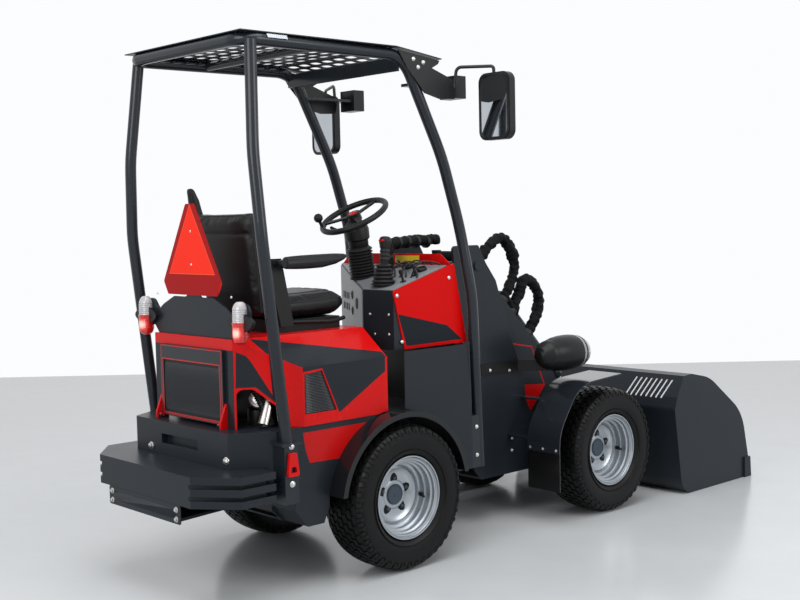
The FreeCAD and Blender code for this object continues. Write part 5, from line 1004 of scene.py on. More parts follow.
FENDER_COAT = coating("fender_coat", (0.0085, 0.0095, 0.0115), 0.2, coat=0.2, peel=(380, 0.08))
dress(FENDER_COAT, "rear_fenders")
GUARD_COAT = coating("guard_coat", COAT_COLOUR, 0.18, coat=0.4, peel=(380, 0.06), gloss=0.4,
                     fields=[(beyond("z", 0.337, above=False), (0.0035, 0.0035, 0.0037))])
dress(GUARD_COAT, "front_fenders")
SKIRT_COAT = coating("skirt_coat", COAT_COLOUR, 0.36)
dress(SKIRT_COAT, "footwell_panels", "floor_plate", "console_frame")
guard_spots = []
for side in (-1, 1):
    guard_spots += heads(BACK, 0.007, *[(0.248, side * y, 0.353) for y in (0.345, 0.421, 0.500)])
repeated("mudguard_bolts", HEX, guard_spots, ZINC, "front_frame")
MAT_RUBBER = rubber("mat_rubber", (0.010, 0.010, 0.011), 0.7)
low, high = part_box("floor_plate")
mats = [(at(-0.665 + 0.016 * k, 0.0, high.z + 0.0002), UP, LEFT, (0.66, 0.008, 0.003)) for k in range(6)]
repeated("floor_mat_ribs", FIN, mats, MAT_RUBBER, "rear_frame")


# ------------------------------------------------------------------ console
# A sheet steel box with red outer panels; its top plate and slanted face are grey sheet, with
# round gauges, rocker switches, loose cables and a blank yellow plate inside the cowl.

PANEL_GREY = coating("panel_grey", (0.20, 0.212, 0.225), 0.4, peel=(900, 0.05))
dress(PANEL_GREY, "instrument_panel")
DECK_SLOPE = 0.094 / 0.330


def deck(x):
    """Height of the console's top at a distance from the pivot."""
    return 1.127 + (x + 0.600) * DECK_SLOPE


form = bmesh.new()
outline = [(-0.598, -0.353), (-0.284, -0.353), (-0.284, 0.350), (-0.598, -0.166)]
slab(form, *([at(x, y, deck(x) + lift) for x, y in outline] for lift in (0.0004, 0.0030)))
finish_piece("deck_plate", form, PANEL_GREY, "rear_frame")

PANEL_BLACK = coating("panel_black", (0.010, 0.010, 0.011), 0.35)
PLATE_YELLOW = coating("plate_yellow", (0.75, 0.52, 0.02), 0.4)
face_start, face_end = at(-0.600, -0.165, 0), at(-0.282, 0.355, 0)
along = (face_end - face_start).normalized()
out = Vector((-along.y, along.x, 0))
FACE_PROUD = 0.0026


def face_place(share, z):
    """A place on the slanted face, at a share of its length and a height, facing out of it."""
    return facing(out, face_start.lerp(face_end, share) + Vector((0, 0, z)) + out * FACE_PROUD)


switches = bmesh.new()
for share, z, radius in ((0.22, 1.06, 0.026), (0.42, 1.09, 0.020), (0.42, 1.02, 0.020)):
    turn(switches, [(0.0, 0.0), (radius, 0.0), (radius, 0.004), (radius - 0.003, 0.006),
                    (radius - 0.004, 0.003), (0.0, 0.003)], face_place(share, z), 32)
for share in (0.60, 0.68, 0.76, 0.84):
    for z in (1.03, 1.08):
        prism(switches, [(-0.017, -0.010), (0.017, -0.010), (0.017, 0.010), (-0.017, 0.010)],
              face_place(share, z) @ Matrix.Rotation(math.pi / 2, 4, "Z"), 0.0, 0.006, 0.86)
finish_piece("console_gauges", switches, PANEL_BLACK, "rear_frame")
form = bmesh.new()
for k, (x, y) in enumerate(((-0.37, -0.05), (-0.33, -0.16), (-0.36, -0.27))):
    dial = Matrix.Translation(at(x, y, deck(x) + 0.003)) @ Matrix.Rotation(-0.28, 4, "Y")
    turn(form, [(0.0, 0.0), (0.028, 0.0), (0.028, 0.010), (0.024, 0.014), (0.022, 0.008), (0.0, 0.008)],
         dial, 28)
for x, y in ((-0.46, -0.13), (-0.42, -0.30), (-0.50, -0.31)):
    knob = Matrix.Translation(at(x, y, deck(x) + 0.003)) @ Matrix.Rotation(-0.28, 4, "Y")
    turn(form, [(0.0, 0.0), (0.013, 0.0), (0.013, 0.004), (0.006, 0.006), (0.004, 0.030), (0.009, 0.036),
                (0.009, 0.052), (0.0, 0.056)], knob, 18)
finish_piece("deck_gauges", form, PANEL_BLACK, "rear_frame")
for k in range(7):
    start, finish = -0.33 + 0.05 * k, -0.10 - 0.035 * ((k * 5) % 7)
    run = [at(-0.300, start, deck(-0.300) + 0.010),
           at(-0.320, start + 0.01, deck(-0.32) + 0.034 + 0.004 * (k % 3)),
           at(-0.370, (start + finish) / 2 + 0.02, deck(-0.37) + 0.034),
           at(-0.420, finish - 0.01, deck(-0.42) + 0.020), at(-0.450, finish - 0.03, deck(-0.45) + 0.004)]
    finish_piece("deck_cable_%d" % k, pipe_along("cable", run, 0.0036, sides=10), BAY_BLACK, "rear_frame")
form = bmesh.new()
prism(form, [(-0.078, -0.016), (0.078, -0.016), (0.078, 0.016), (-0.078, 0.016)],
      facing((-1, 0, 0.0), at(-0.284, -0.105, 1.244)), 0.0, 0.002)
finish_piece("yellow_plate", form, PLATE_YELLOW, "rear_frame")


# ------------------------------------------------------------------ steering column and wheel
# The column stands in a moulded rubber bellows and carries a two-part plastic housing with a
# lever; the wheel is grained black plastic with a red cap.

BELLOWS_RUBBER = rubber("bellows_rubber", (0.014, 0.014, 0.015), 0.48)
GRAINED_BLACK = coating("grained_black", (0.0085, 0.0088, 0.0092), 0.40, peel=(1400, 0.2))
dress(GRAINED_BLACK, "steering_wheel")
foot, head = at(-0.452, 0.0, deck(-0.452)), at(-0.499, 0.0, 1.440)
column = facing(head - foot, foot)
tall = (head - foot).length
form = bmesh.new()
profile = [(0.0, 0.0), (0.060, 0.0), (0.060, 0.006)]
for k in range(9):
    profile += [(0.0480, 0.010 + 0.0135 * k), (0.0570, 0.0145 + 0.0135 * k), (0.0570, 0.0185 + 0.0135 * k)]
turn(form, profile + [(0.044, 0.138), (0.0, 0.139)], column, 40)
bellows = finish_piece("column_bellows", form, BELLOWS_RUBBER, "rear_frame", 50)
form = bmesh.new()
turn(form, [(0.0, 0.128), (0.036, 0.128), (0.044, 0.140), (0.0455, 0.165), (0.054, 0.172), (0.056, 0.212),
            (0.052, 0.228), (0.047, 0.233), (0.038, 0.246), (0.026, 0.254), (0.018, tall - 0.020),
            (0.0, tall - 0.020)], column, 40)
finish_piece("column_housing", form, GRAINED_BLACK, "rear_frame")
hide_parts("steering_column")
WHEEL_AXIS = Vector((-math.sin(math.radians(27.5)), 0, math.cos(math.radians(27.5))))
form = bmesh.new()
turn(form, [(0.0, 0.0), (0.020, 0.0), (0.020, 0.003), (0.017, 0.005), (0.0, 0.006)],
     facing(WHEEL_AXIS, head + WHEEL_AXIS * 0.0115), 36)
finish_piece("wheel_cap", form, RING_COAT, "steering_wheel")
stalk = [foot + (head - foot) * 0.72 + Vector((-0.01, 0.030, 0)), at(-0.52, 0.080, 1.372),
         at(-0.535, 0.120, 1.392)]
finish_piece("column_lever", pipe_along("lever", stalk, 0.0065, sides=14), GRAINED_BLACK, "rear_frame")


# ------------------------------------------------------------------ joystick
# A black grip with finger grooves and two thumb buttons on a conical ribbed rubber boot.

STICK_FOOT = at(-0.545, -0.235, deck(-0.545) + 0.003)
form = bmesh.new()
profile = [(0.0, 0.0), (0.054, 0.0), (0.054, 0.005)]
for k in range(5):
    size = 0.050 - 0.0040 * k
    profile += [(size - 0.008, 0.009 + 0.0165 * k), (size, 0.014 + 0.0165 * k),
                (size - 0.001, 0.019 + 0.0165 * k)]
turn(form, profile + [(0.017, 0.092), (0.0, 0.093)], facing((0.02, 0.0, 1.0), STICK_FOOT), 36)
boot = finish_piece("joystick_boot", form, BELLOWS_RUBBER, "rear_frame", 50)
form = bmesh.new()
profile = [(0.0, 0.084), (0.015, 0.084), (0.019, 0.092)]
for k in range(4):
    profile += [(0.0185, 0.100 + 0.017 * k), (0.0225, 0.108 + 0.017 * k)]
turn(form, smooth_profile(profile + [(0.024, 0.170), (0.027, 0.184), (0.024, 0.200), (0.014, 0.206),
                                     (0.0, 0.207)],
                          1)[1:-1] + [(0.0, 0.084)],
     facing((0.10, 0.02, 1.0), STICK_FOOT), 28, ring=True)
finish_piece("joystick_grip", form, GRAINED_BLACK, "rear_frame", 50)
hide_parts("joystick")
form = bmesh.new()
for side in (-0.009, 0.009):
    turn(form, [(0.0, 0.0), (0.006, 0.0), (0.0055, 0.004), (0.0, 0.005)],
         facing((-0.9, side * 10, 0.5), STICK_FOOT + Vector((-0.006, side, 0.188))), 14)
finish_piece("joystick_buttons", form, RING_COAT, "rear_frame")


# ------------------------------------------------------------------ seat
# A foam seat in soft black vinyl: a cushion with raised sides and a rolled front, and a back with
# a headroll, sewn from panels with piped seams. Both swell between their seams.

VINYL, tree, shader, place = new_material("soft_vinyl")
pores = node_of(tree, "ShaderNodeTexVoronoi", {"Vector": place, "Scale": 620.0}, feature="DISTANCE_TO_EDGE")
cloudy = weathered(tree, shader, place, 0.40, (90, 0.10), 0.002)
grain = node_of(tree, "ShaderNodeBump", {"Strength": 0.22, "Distance": 0.0006,
                                         "Height": pores.outputs["Distance"]})
fold = shader.inputs["Normal"].links[0].from_socket
tree.links.new(fold, grain.inputs["Normal"])
tree.links.new(grain.outputs["Normal"], shader.inputs["Normal"])
shader.inputs["Specular IOR Level"].default_value = 0.22
tree.links.new(mixed(tree, cloudy, (0.0045, 0.0047, 0.0052, 1), (0.0085, 0.0088, 0.0095, 1)),
               shader.inputs["Base Color"])
PIPING = coating("piping", (0.022, 0.022, 0.023), 0.32)
SEAT_PLASTIC = coating("seat_plastic", (0.0065, 0.0068, 0.0072), 0.42, peel=(1100, 0.2))
dress(SEAT_PLASTIC, "seat_base")


def ring_section(form, centre, across, up, half, tall, square=3.2, count=44):
    """One closed rounded-square section of a pad."""
    ring = []
    for i in range(count):
        a = math.tau * i / count
        c, s = math.cos(a), math.sin(a)
        x = half * math.copysign(abs(c) ** (2 / square), c)
        z = tall * math.copysign(abs(s) ** (2 / square), s)
        ring.append(form.verts.new(centre + across * x + up * z))
    return ring


def pad_mesh(name, sections):
    """A closed pad through rounded sections of (centre, across, up, half width, half height)."""
    form = bmesh.new()
    rings = [ring_section(form, *section) for section in sections]
    for lower, upper in zip(rings, rings[1:]):
        bridge(form, lower, upper)
    form.faces.new(rings[0])
    form.faces.new(rings[-1])
    return to_mesh(name, form)


def stuffed(name, mesh, seams, cap=0.010, voxel=0.0055):
    """Swells a pad by cloth under pressure, with its moves capped, then presses its seams in."""
    pad = put(name, mesh)
    scene = bpy.context.scene
    remesh = pad.modifiers.new("even", "REMESH")
    remesh.mode = "VOXEL"
    remesh.voxel_size = voxel
    bpy.context.view_layer.update()
    even = evaluated_mesh(pad)
    pad.modifiers.clear()
    pad.data = even
    rest = np.array([v.co[:] for v in even.vertices])
    cloth = pad.modifiers.new("swell", "CLOTH")
    cloth.settings.use_pressure = True
    cloth.settings.uniform_pressure_force = 4.0
    cloth.settings.quality = 4
    cloth.settings.tension_stiffness = 25
    cloth.settings.compression_stiffness = 25
    cloth.settings.effector_weights.gravity = 0.0
    cloth.point_cache.frame_end = 20
    for step in range(1, 21):
        scene.frame_set(step)
    swollen = evaluated_mesh(pad)
    moved = np.array([v.co[:] for v in swollen.vertices]) - rest
    pad.modifiers.clear()
    scene.frame_set(1)
    reach = np.linalg.norm(moved, axis=1, keepdims=True)
    rest = rest + moved * np.minimum(1.0, cap / np.maximum(reach, 1e-9))
    normals = np.array([v.normal[:] for v in even.vertices])
    for seam, depth, width in seams:
        line = np.array([p[:] for p in seam])
        away = np.full(len(rest), 9.0)
        for a, b in zip(line, line[1:]):
            run = b - a
            t = np.clip(((rest - a) @ run) / (run @ run), 0, 1)
            away = np.minimum(away, np.linalg.norm(rest - a - t[:, None] * run, axis=1))
        rest = rest - normals * (depth * np.exp(-(away / width) ** 2))[:, None]
    even.vertices.foreach_set("co", rest.ravel())
    even.update()
    pad.data.materials.clear()
    pad.data.materials.append(VINYL)
    rounding = pad.modifiers.new("rounding", "SUBSURF")
    rounding.levels = rounding.render_levels = 1
    even.shade_smooth()
    return pad


SIDEWAYS, UPWARD = Vector((0, 1, 0)), Vector((0, 0, 1))
low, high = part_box("seat_cushion")
length = high.x - low.x
cushion_sections = []
for share, half, top in ((0.03, 0.192, 0.070), (0.08, 0.204, 0.086), (0.25, 0.208, 0.093),
                         (0.5, 0.209, 0.095),
                         (0.75, 0.208, 0.100), (0.88, 0.206, 0.102), (0.95, 0.198, 0.092),
                         (0.982, 0.186, 0.074)):
    bottom = 0.008 if share < 0.9 else 0.008 + (share - 0.9) * 0.30
    cushion_sections.append((Vector((low.x + share * length, 0, low.z + (bottom + top) / 2)), SIDEWAYS,
                             UPWARD, half, (top - bottom) / 2))
top_z = high.z - 0.012
seams = []
for side in (-1, 1):
    seams.append(([Vector((low.x + 0.02, side * 0.128, top_z - 0.010)),
                   Vector((low.x + 0.20, side * 0.132, top_z)),
                   Vector((high.x - 0.02, side * 0.138, top_z))], 0.006, 0.008))
    seams.append(([Vector((low.x + 0.02, side * 0.215, low.z + 0.052)),
                   Vector((high.x - 0.03, side * 0.215, low.z + 0.052))], 0.005, 0.006))
seams.append(([Vector((high.x - 0.075, -0.135, top_z + 0.002)),
               Vector((high.x - 0.070, 0.135, top_z + 0.002))],
              0.006, 0.008))
seams.append(([Vector((high.x - 0.004, -0.19, low.z + 0.052)),
               Vector((high.x - 0.004, 0.19, low.z + 0.052))],
              0.005, 0.006))
seat_pad = stuffed("seat_pad", pad_mesh("seat_pad", cushion_sections), seams, 0.009)
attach(seat_pad, "rear_frame")
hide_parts("seat_cushion")

back_foot, back_top = at(-1.125, 0, 1.040), at(-1.176, 0, 1.468)
rise = (back_top - back_foot).normalized()
depthways = Vector((rise.z, 0, -rise.x))
back_sections = []
for share, half, thick in ((0.01, 0.168, 0.026), (0.05, 0.190, 0.033), (0.25, 0.203, 0.036),
                           (0.5, 0.206, 0.036),
                           (0.70, 0.206, 0.036), (0.80, 0.205, 0.035), (0.90, 0.203, 0.037),
                           (0.96, 0.196, 0.032), (0.985, 0.184, 0.022)):
    back_sections.append((back_foot.lerp(back_top, share), SIDEWAYS, depthways, half, thick))
rear_skin, front_skin = -0.036, 0.038


def back_spot(share, y, deep):
    """A place in the seat back, by its share of the height, sideways and in depth."""
    return back_foot.lerp(back_top, share) + SIDEWAYS * y + depthways * deep


seams = [([back_spot(0.80, -0.21, rear_skin), back_spot(0.80, 0.21, rear_skin)], 0.008, 0.008),
         ([back_spot(0.80, -0.21, front_skin), back_spot(0.80, 0.21, front_skin)], 0.009, 0.010)]
for side in (-1, 1):
    seams.append(([back_spot(0.03, side * 0.13, front_skin), back_spot(0.80, side * 0.14, front_skin)],
                  0.007, 0.009))
    seams.append(([back_spot(0.05, side * 0.207, -0.008), back_spot(0.97, side * 0.207, -0.008)], 0.004,
                  0.005))
for share in (0.28, 0.54):
    seams.append(([back_spot(share, -0.13, front_skin), back_spot(share, 0.13, front_skin)], 0.006, 0.008))
back_pad = stuffed("seat_back_pad", pad_mesh("back_pad", back_sections), seams, 0.008)
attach(back_pad, "rear_frame")
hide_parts("seat_back")


def piping(name, pad, points):
    """A thin round cord sewn over a seam, laid on the pad's finished skin."""
    spots = []
    for a, b in zip(points, points[1:]):
        for k in range(8):
            _, place, normal, _ = pad.closest_point_on_mesh(a.lerp(b, k / 8))
            spots.append(place + normal * 0.0006)
    _, place, normal, _ = pad.closest_point_on_mesh(points[-1])
    spots.append(place + normal * 0.0006)
    finish_piece(name, pipe_along("piping", spots, 0.0026, sides=8), PIPING, "rear_frame")


bpy.context.view_layer.update()
piping("back_piping", back_pad, [back_spot(0.04, -0.20, -0.03), back_spot(0.5, -0.215, -0.03),
                                 back_spot(0.93, -0.212, -0.03), back_spot(0.99, -0.15, -0.03),
                                 back_spot(0.99, 0.15, -0.03), back_spot(0.93, 0.212, -0.03),
                                 back_spot(0.5, 0.215, -0.03), back_spot(0.04, 0.20, -0.03)])
edge_z = low.z + 0.078
piping("cushion_piping", seat_pad, [Vector((low.x + 0.02, -0.21, edge_z)),
                                    Vector((low.x + 0.2, -0.22, edge_z + 0.008)),
                                    Vector((high.x - 0.04, -0.22, edge_z + 0.014)),
                                    Vector((high.x, -0.17, edge_z + 0.006)),
                                    Vector((high.x, 0.17, edge_z + 0.006)),
                                    Vector((high.x - 0.04, 0.22, edge_z + 0.014)),
                                    Vector((low.x + 0.2, 0.22, edge_z + 0.008)),
                                    Vector((low.x + 0.02, 0.21, edge_z))])
for name, side in SIDES:
    rail = [at(-1.06, side * 0.200, 1.024), at(-0.90, side * 0.212, 1.018), at(-0.80, side * 0.214, 1.010),
            at(-0.742, side * 0.205, 1.022)]
    finish_piece("seat_tray_" + name, pipe_along("tray", rail, 0.0085, sides=14),
                 SEAT_PLASTIC, "rear_frame")
slide = [at(-0.790, 0.10, 1.004), at(-0.735, 0.10, 0.998), at(-0.724, 0.07, 0.998),
         at(-0.724, -0.14, 0.998)]
finish_piece("slide_bar", pipe_along("slide", slide, 0.005, sides=12), BLACK_STEEL, "rear_frame")


# ------------------------------------------------------------------ armrests
# Two folding armrests of soft black vinyl over foam, each on a steel arm; the left one stands up.

for side, sign in SIDES:
    body = "armrest_" + side
    root = at(-1.100, sign * 0.270, 1.258)
    lift = 0.0 if side == "right" else math.radians(98)
    forward = Vector((math.cos(lift), 0, math.sin(lift)))
    above = Vector((-math.sin(lift), 0, math.cos(lift)))
    sections = []
    for share, down, up, half in ((0.012, -0.012, 0.014, 0.015), (0.05, -0.021, 0.027, 0.021),
                                  (0.3, -0.023, 0.030, 0.022),
                                  (0.6, -0.022, 0.031, 0.022), (0.82, -0.010, 0.032, 0.021),
                                  (0.95, 0.006, 0.030, 0.019), (0.985, 0.014, 0.027, 0.013)):
        sections.append((root + forward * (0.320 * share) + above * ((down + up) / 2), SIDEWAYS, above,
                         half, (up - down) / 2))
    groove = [root + forward * 0.02 + SIDEWAYS * sign * 0.024 + above * 0.010,
              root + forward * 0.30 + SIDEWAYS * sign * 0.024 + above * 0.018]
    arm_pad = stuffed("armrest_pad_" + side, pad_mesh("arm", sections), [(groove, 0.003, 0.005)], 0.004,
                      0.004)
    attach(arm_pad, body)
    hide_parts(body)
    form = bmesh.new()
    turn(form, [(0.0, -0.016), (0.014, -0.016), (0.016, -0.012), (0.016, 0.012), (0.0, 0.012)],
         facing((0, -sign, 0), root), 24)
    finish_piece("armrest_pivot_" + side, form, SEAT_PLASTIC, body)


# ------------------------------------------------------------------ roof
# A folded steel sheet over the frame's rails, punched with three fields of rounded square holes so
# that the driver can see up.

ROOF_REAR, ROOF_FOLD, ROOF_NOSE, ROOF_HALF = -1.366, -0.600, -0.347, 0.410
low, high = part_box("roof_plate")
ROOF_TOP, ROOF_THICK, ROOF_DROP = high.z, 0.004, 0.033
CELL_X, CELL_Y, CELL_COLUMNS = 0.062, 0.080, 9
ZONES = ((-1.270, 5, False), (-0.925, 5, False), (-0.594, 3, True))


def roof_fall(x):
    """How far the sheet has dropped at a distance from the pivot."""
    return max(0.0, (x - ROOF_FOLD) / (ROOF_NOSE - ROOF_FOLD)) * ROOF_DROP


def sheet_part(form, x0, x1, y0, y1):
    """A stretch of roof sheet between two distances from the pivot."""
    corners = ((x0, y0), (x1, y0), (x1, y1), (x0, y1))
    slab(form, *([at(x, y, ROOF_TOP - depth - roof_fall(x)) for x, y in corners] for depth in (ROOF_THICK,
                                                                                               0.0)))


form = bmesh.new()
half_holes = CELL_Y * CELL_COLUMNS / 2
edges = [ROOF_REAR]
for start, rows, _ in ZONES:
    edges += [start, start + rows * CELL_X]
for x0, x1 in zip(edges[::2], edges[1::2] + [ROOF_NOSE]):
    if x0 < ROOF_FOLD < x1:
        sheet_part(form, x0, ROOF_FOLD, -ROOF_HALF, ROOF_HALF)
        x0 = ROOF_FOLD
    sheet_part(form, x0, x1, -ROOF_HALF, ROOF_HALF)
for start, rows, _ in ZONES:
    for side in (-1, 1):
        y0, y1 = sorted((side * half_holes, side * ROOF_HALF))
        sheet_part(form, start, start + rows * CELL_X, y0, y1)
roof = finish_piece("roof_sheet", form, DARK_COAT, "rear_frame")
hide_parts("roof_plate")
form = bmesh.new()
outer, inner = [], []
for k in range(16):
    a = math.tau * (k + 0.5) / 16
    c, s = math.cos(a), math.sin(a)
    inner.append((0.021 * math.copysign(abs(c) ** 0.6, c), 0.029 * math.copysign(abs(s) ** 0.6, s)))
    reach = min(CELL_X / 2 / max(abs(c), 1e-6), CELL_Y / 2 / max(abs(s), 1e-6))
    outer.append((c * reach, s * reach))
rings = [[form.verts.new((x, y, z)) for x, y in line] for line, z in
         ((outer, 0.0), (outer, ROOF_THICK), (inner, ROOF_THICK), (inner, 0.0))]
for first, second in zip(rings, rings[1:] + rings[:1]):
    bridge(form, first, second)
CELL = unit_object("punched_cell", form)
cells = []
slope = math.atan2(ROOF_DROP, ROOF_NOSE - ROOF_FOLD)
for start, rows, sloped in ZONES:
    for i in range(rows):
        x = start + CELL_X * (i + 0.5)
        normal, along_roof = ((math.sin(slope), 0, math.cos(slope)),
                              (math.cos(slope), 0, -math.sin(slope))) \
            if sloped else (UP, (1, 0, 0))
        for j in range(CELL_COLUMNS):
            cells.append((at(x, -half_holes + CELL_Y * (j + 0.5), ROOF_TOP - ROOF_THICK - roof_fall(x)),
                          normal, along_roof, (1, 1, 1)))
repeated("roof_perforation", CELL, cells, DARK_COAT, "rear_frame")
bpy.data.objects.remove(CELL)


# ------------------------------------------------------------------ roll-over frame and mirrors
# Bent tube with bolted brackets for the mirrors and lamps; a blank silver plate sits on the right
# rail. The mirrors are flat glass in rounded black plastic housings.

tilt = math.radians(32)
normal = Vector((0, -math.cos(tilt), math.sin(tilt)))
form = bmesh.new()
prism(form, [(-0.046, -0.009), (0.046, -0.009), (0.046, 0.009), (-0.046, 0.009)],
      Matrix.Translation(at(-1.203, -0.394, 2.092) + normal * 0.0236)
      @ Matrix(((1, 0, 0), (0, math.sin(tilt), -math.cos(tilt)),
                (0, math.cos(tilt), math.sin(tilt)))).to_4x4(),
      0.0, 0.0012)
finish_piece("blank_plate", form, SILVER, "rear_frame")
bracket = [(-0.501, 2.076), (-0.446, 2.066), (-0.475, 2.044)]
bracket_spots = paired_heads(0.009, *[(x, -0.400, z) for x, z in bracket])
repeated("bracket_bolts", HEX, bracket_spots, ZINC, "rear_frame")

MIRROR_GLASS, tree, shader, place = new_material("mirror_glass")
smear = node_of(tree, "ShaderNodeTexNoise", {"Vector": place, "Scale": 9.0, "Detail": 3.0})
haze = node_of(tree, "ShaderNodeMapRange", {"Value": smear.outputs["Fac"], "To Min": 0.015, "To Max": 0.05})
tree.links.new(haze.outputs["Result"], shader.inputs["Roughness"])
tree.links.new(mixed(tree, smear.outputs["Fac"], (0.42, 0.45, 0.48, 1), (0.52, 0.55, 0.58, 1)),
               shader.inputs["Base Color"])
shader.inputs["Metallic"].default_value = 1.0
MIRROR_BLACK = coating("mirror_black", (0.007, 0.0075, 0.008), 0.32, coat=0.08, peel=(1200, 0.12))
dress(MIRROR_BLACK, "mirrors", "work_lights")


def rounded(half_x, half_y, corner, steps=8):
    """Outline of a rounded rectangle."""
    points = []
    for quarter, (sx, sy) in enumerate(((1, 1), (-1, 1), (-1, -1), (1, -1))):
        for k in range(steps + 1):
            a = math.pi / 2 * (quarter + k / steps)
            points.append((sx * (half_x - corner) + corner * math.cos(a),
                           sy * (half_y - corner) + corner * math.sin(a)))
    return points


for name, side in SIDES:
    face = facing((-1, 0, 0), at(-0.200, side * 0.567, 1.885))
    form = bmesh.new()
    prism(form, rounded(0.076, 0.128, 0.034), face, -0.001, 0.0012)
    finish_piece("mirror_glass_" + name, form, MIRROR_GLASS, "rear_frame")
    form = bmesh.new()
    rim_outer, rim_inner = rounded(0.085, 0.137, 0.040), rounded(0.075, 0.127, 0.033)
    rings = [[form.verts.new(face @ Vector((x, y, z))) for x, y in line] for line, z in
             ((rim_outer, -0.002), (rim_outer, 0.003), (rim_inner, 0.0045), (rim_inner, -0.002))]
    for first, second in zip(rings, rings[1:] + rings[:1]):
        bridge(form, first, second)
    finish_piece("mirror_bezel_" + name, form, MIRROR_BLACK, "rear_frame")

LAMP_GLASS = lens_material("lamp_glass", (0.62, 0.64, 0.66), 0.06, 0.6)
REFLECTOR = coating("reflector", (0.75, 0.76, 0.78), 0.12, metallic=1.0, peel=(500, 0.05), edge=0.0004)
low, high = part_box("work_lights")
work_lamps, work_ribs = bmesh.new(), []
for side in (-1, 1):
    middle = at(-0.178, side * 0.336, (low.z + high.z) / 2)
    prism(work_lamps, rounded(0.038, 0.038, 0.008), facing((1, 0, 0), middle), -0.001, 0.003)
    for k in range(6):
        work_ribs.append((middle + Vector((0.003, 0, -0.030 + 0.012 * k)), FRONT, LEFT,
                          (0.070, 0.005, 0.0025)))
finish_piece("work_lamp_lenses", work_lamps, LAMP_GLASS, "rear_frame")
repeated("work_lamp_ribs", FIN, work_ribs, LAMP_GLASS, "rear_frame")


# ------------------------------------------------------------------ headlights
# Rounded black housings on flat arms bolted to the tower, each with a clear lens over a bright
# reflector and a square of small lamps.

HOUSING_BLACK = coating("housing_black", (0.0062, 0.0064, 0.0068), 0.34, peel=(1300, 0.15))
dress(HOUSING_BLACK, "headlights")
arm_spots = paired_heads(0.008, (0.130, -0.210, 0.711), (0.262, -0.210, 0.698))
repeated("arm_bolts", HEX, arm_spots, ZINC, "front_frame")
low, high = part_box("headlight_lenses")
lens_form, bowl_form, dome_form, lamp_spots = bmesh.new(), bmesh.new(), bmesh.new(), []
depth, radius = high.x - low.x, (high.z - low.z) / 2
for side in (-1, 1):
    front = facing((1, 0, 0), Vector((low.x, side * (high.y - radius), (low.z + high.z) / 2)))
    turn(lens_form, [(0.0, 0.014), (0.062, 0.012), (0.068, -0.004), (0.0745, -0.030), (0.0770, -0.046),
                     (0.0800, -0.046), (0.0792, -0.034), (0.0745, -0.006), (0.0660, 0.014), (0.0560, 0.023),
                     (0.0380, 0.029), (0.0180, depth - 0.0006), (0.0, depth - 0.0003)], front, 48)
    turn(bowl_form, [(0.0, 0.002), (radius * 0.5, 0.003), (radius * 0.82, 0.006), (radius, 0.0110),
                     (0.0665, -0.004), (0.0730, -0.030), (0.0755, -0.044), (0.0720, -0.044), (0.0, -0.010)],
         front, 48)
    dome = [(0.0, -0.290), (0.012, -0.290), (0.026, -0.285), (0.045, -0.266), (0.060, -0.240),
            (0.071, -0.210),
            (0.0795, -0.175), (0.0840, -0.135), (0.0850, -0.100), (0.0840, -0.070), (0.0815, -0.046),
            (0.0770, -0.044), (0.0, -0.044)]
    turn(dome_form, dome, front, 56)
    for j in range(-2, 3):
        for k in range(-2, 3):
            lamp_spots.append((front @ Vector((0.017 * j, 0.017 * k, 0.0032)), FRONT, LEFT,
                               (0.006, 0.006, 0.008)))
lens = finish_piece("headlight_glass", lens_form, LAMP_GLASS, "front_frame")
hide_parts("headlight_lenses")
finish_piece("headlight_domes", dome_form, HOUSING_BLACK, "front_frame", 50)
finish_piece("headlight_bowls", bowl_form, REFLECTOR, "front_frame")
repeated("headlight_lamps", BUTTON, lamp_spots, SILVER, "front_frame")


# ------------------------------------------------------------------ cylinders
# Painted steel barrels, and the rods that slide in them, which are ground and hard chromed to a
# bright finish.

CHROME = coating("hard_chrome", (0.62, 0.63, 0.65), 0.10, metallic=1.0, peel=(2500, 0.02), cloud=0.03,
                 edge=0.0004)
dress(CHROME, "lift_cylinder_rod", "tilt_cylinder_rod", "steer_cylinder_rod")


# ------------------------------------------------------------------ hoses
# Bundles of pressure hoses in woven nylon sleeves that crumple along their length, held by black
# clamps over the steering joint and turning back into the boom.

SLEEVE, tree, shader, place = new_material("woven_sleeve")
cloudy = weathered(tree, shader, place, 0.62, (60, 0.2), 0.002)
weave = node_of(tree, "ShaderNodeTexWave", {"Vector": place, "Scale": 190.0, "Distortion": 2.0})
threads = node_of(tree, "ShaderNodeBump", {"Strength": 0.4, "Distance": 0.0008,
                                           "Height": weave.outputs["Fac"]})
fold = shader.inputs["Normal"].links[0].from_socket
tree.links.new(fold, threads.inputs["Normal"])
tree.links.new(threads.outputs["Normal"], shader.inputs["Normal"])
shader.inputs["Specular IOR Level"].default_value = 0.08
tree.links.new(mixed(tree, cloudy, (0.0045, 0.0045, 0.005, 1), (0.010, 0.010, 0.011, 1)),
               shader.inputs["Base Color"])


def crumpled(mesh, depth, seed):
    """Pulls a tube's skin in unevenly, as a loose sleeve lies on its hoses."""
    random = np.random.default_rng(seed)
    waves = [(random.uniform(60, 190), Vector(random.normal(size=3)).normalized(),
              random.uniform(0, math.tau))
             for _ in range(9)]
    mesh.update()
    moves = []
    for vertex in mesh.vertices:
        swell = sum(math.sin(scale * way.dot(vertex.co) + phase) for scale, way, phase in waves) / 9
        moves.append(vertex.co + vertex.normal * (depth * (swell * 1.6 - 0.5)))
    for vertex, place in zip(mesh.vertices, moves):
        vertex.co = place
    mesh.update()
    return mesh


def boom_spot(along_boom, height):
    """A place over the boom's upper edge, from its length along the edge and height over it."""
    return at(0.111 + 0.7100 * along_boom + 0.7041 * height, -0.084,
              1.245 - 0.7041 * along_boom + 0.7100 * height)


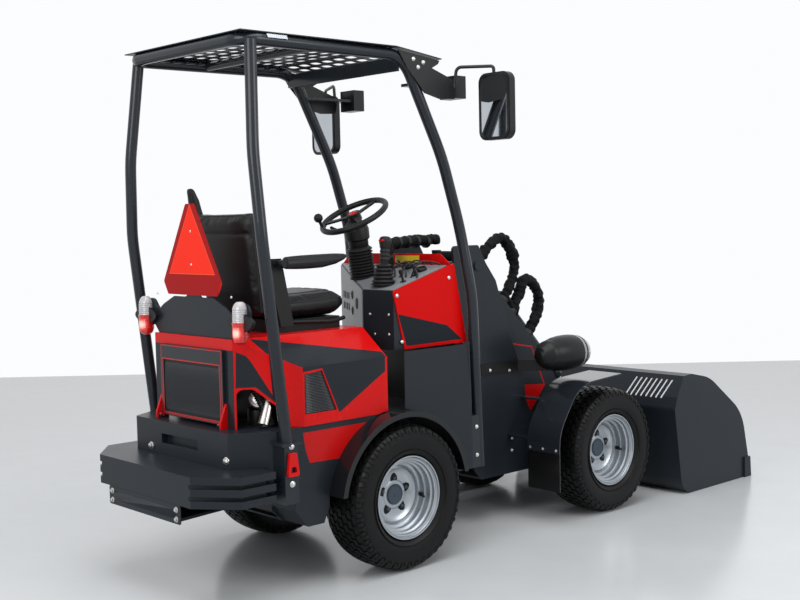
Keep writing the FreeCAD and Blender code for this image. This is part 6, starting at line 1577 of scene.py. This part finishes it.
UPPER_LOOP = [boom_spot(0.076, 0.0005), boom_spot(0.076, 0.146), boom_spot(0.120, 0.245),
              boom_spot(0.262, 0.222), boom_spot(0.330, 0.128), boom_spot(0.330, 0.0005)]
LOWER_LOOP = [boom_spot(0.414, 0.0005), boom_spot(0.414, 0.100), boom_spot(0.366, 0.185),
              boom_spot(0.438, 0.232), boom_spot(0.580, 0.185), boom_spot(0.580, 0.0005)]
clamp_form = bmesh.new()
for k, (name, loop) in enumerate((("boom_hose_upper", UPPER_LOOP), ("boom_hose_lower", LOWER_LOOP))):
    mesh = crumpled(pipe_along(name, loop, 0.0300, 0.0012, 0.026, sides=30), 0.0075, 11 + k)
    hose = finish_piece(name, mesh, SLEEVE, "boom", 70)
    if k == 0:
        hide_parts("boom_hoses")
    for end, inner in ((loop[0], loop[1]), (loop[-1], loop[-2])):
        turn(clamp_form, [(0.0, 0.004), (0.031, 0.004), (0.031, 0.022), (0.0, 0.022)],
             facing(inner - end, end), 28)
finish_piece("boom_hose_clamps", clamp_form, GRAINED_BLACK, "boom")

REAR_BUNDLE = [at(-0.395, -0.096, deck(-0.395) - 0.014), at(-0.391, -0.090, 1.298),
               at(-0.325, -0.064, 1.318),
               at(-0.160, -0.012, 1.322), at(-0.050, 0.0, 1.324), at(0.004, 0.0, 1.324)]
mesh = crumpled(pipe_along("rear_bundle", REAR_BUNDLE, 0.0265, 0.0010, 0.022, sides=28), 0.0045, 21)
bundle = finish_piece("hose_bundle_over_joint", mesh, SLEEVE, "rear_frame", 70)
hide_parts("hose_bundle_rear")
clamp_form = bmesh.new()
for spot, way in ((at(-0.391, -0.091, 1.255), (0, 0, 1)), (at(-0.300, -0.055, 1.3165), (0.96, 0.25, 0)),
                  (at(-0.225, -0.032, 1.3180), (0.96, 0.25, 0)),
                  (at(-0.145, -0.0125, 1.3180), (0.98, 0.12, 0)),
                  (at(-0.070, -0.003, 1.3150), (1, 0.02, -0.1))):
    turn(clamp_form, [(0.0, -0.009), (0.0272, -0.009), (0.0286, -0.006), (0.0286, 0.006), (0.0272, 0.009),
                      (0.0, 0.009)], facing(way, spot), 28)
finish_piece("bundle_clamps", clamp_form, GRAINED_BLACK, "rear_frame")
dress(SLEEVE, "hose_bundle_front")
boom_run = [boom_spot(0.325, 0.040), boom_spot(0.360, 0.030), boom_spot(0.400, 0.030),
            boom_spot(0.440, 0.038)]
mesh = crumpled(pipe_along("boom_run", boom_run, 0.0290, 0.0010, 0.024, sides=28), 0.0060, 31)
finish_piece("boom_hose_run", mesh, SLEEVE, "boom", 70)


# ------------------------------------------------------------------ tidying up
# The units that the trees repeated are taken away.

for unit_made in (HEX, BUTTON, FIN):
    bpy.data.objects.remove(unit_made)
bpy.context.view_layer.update()
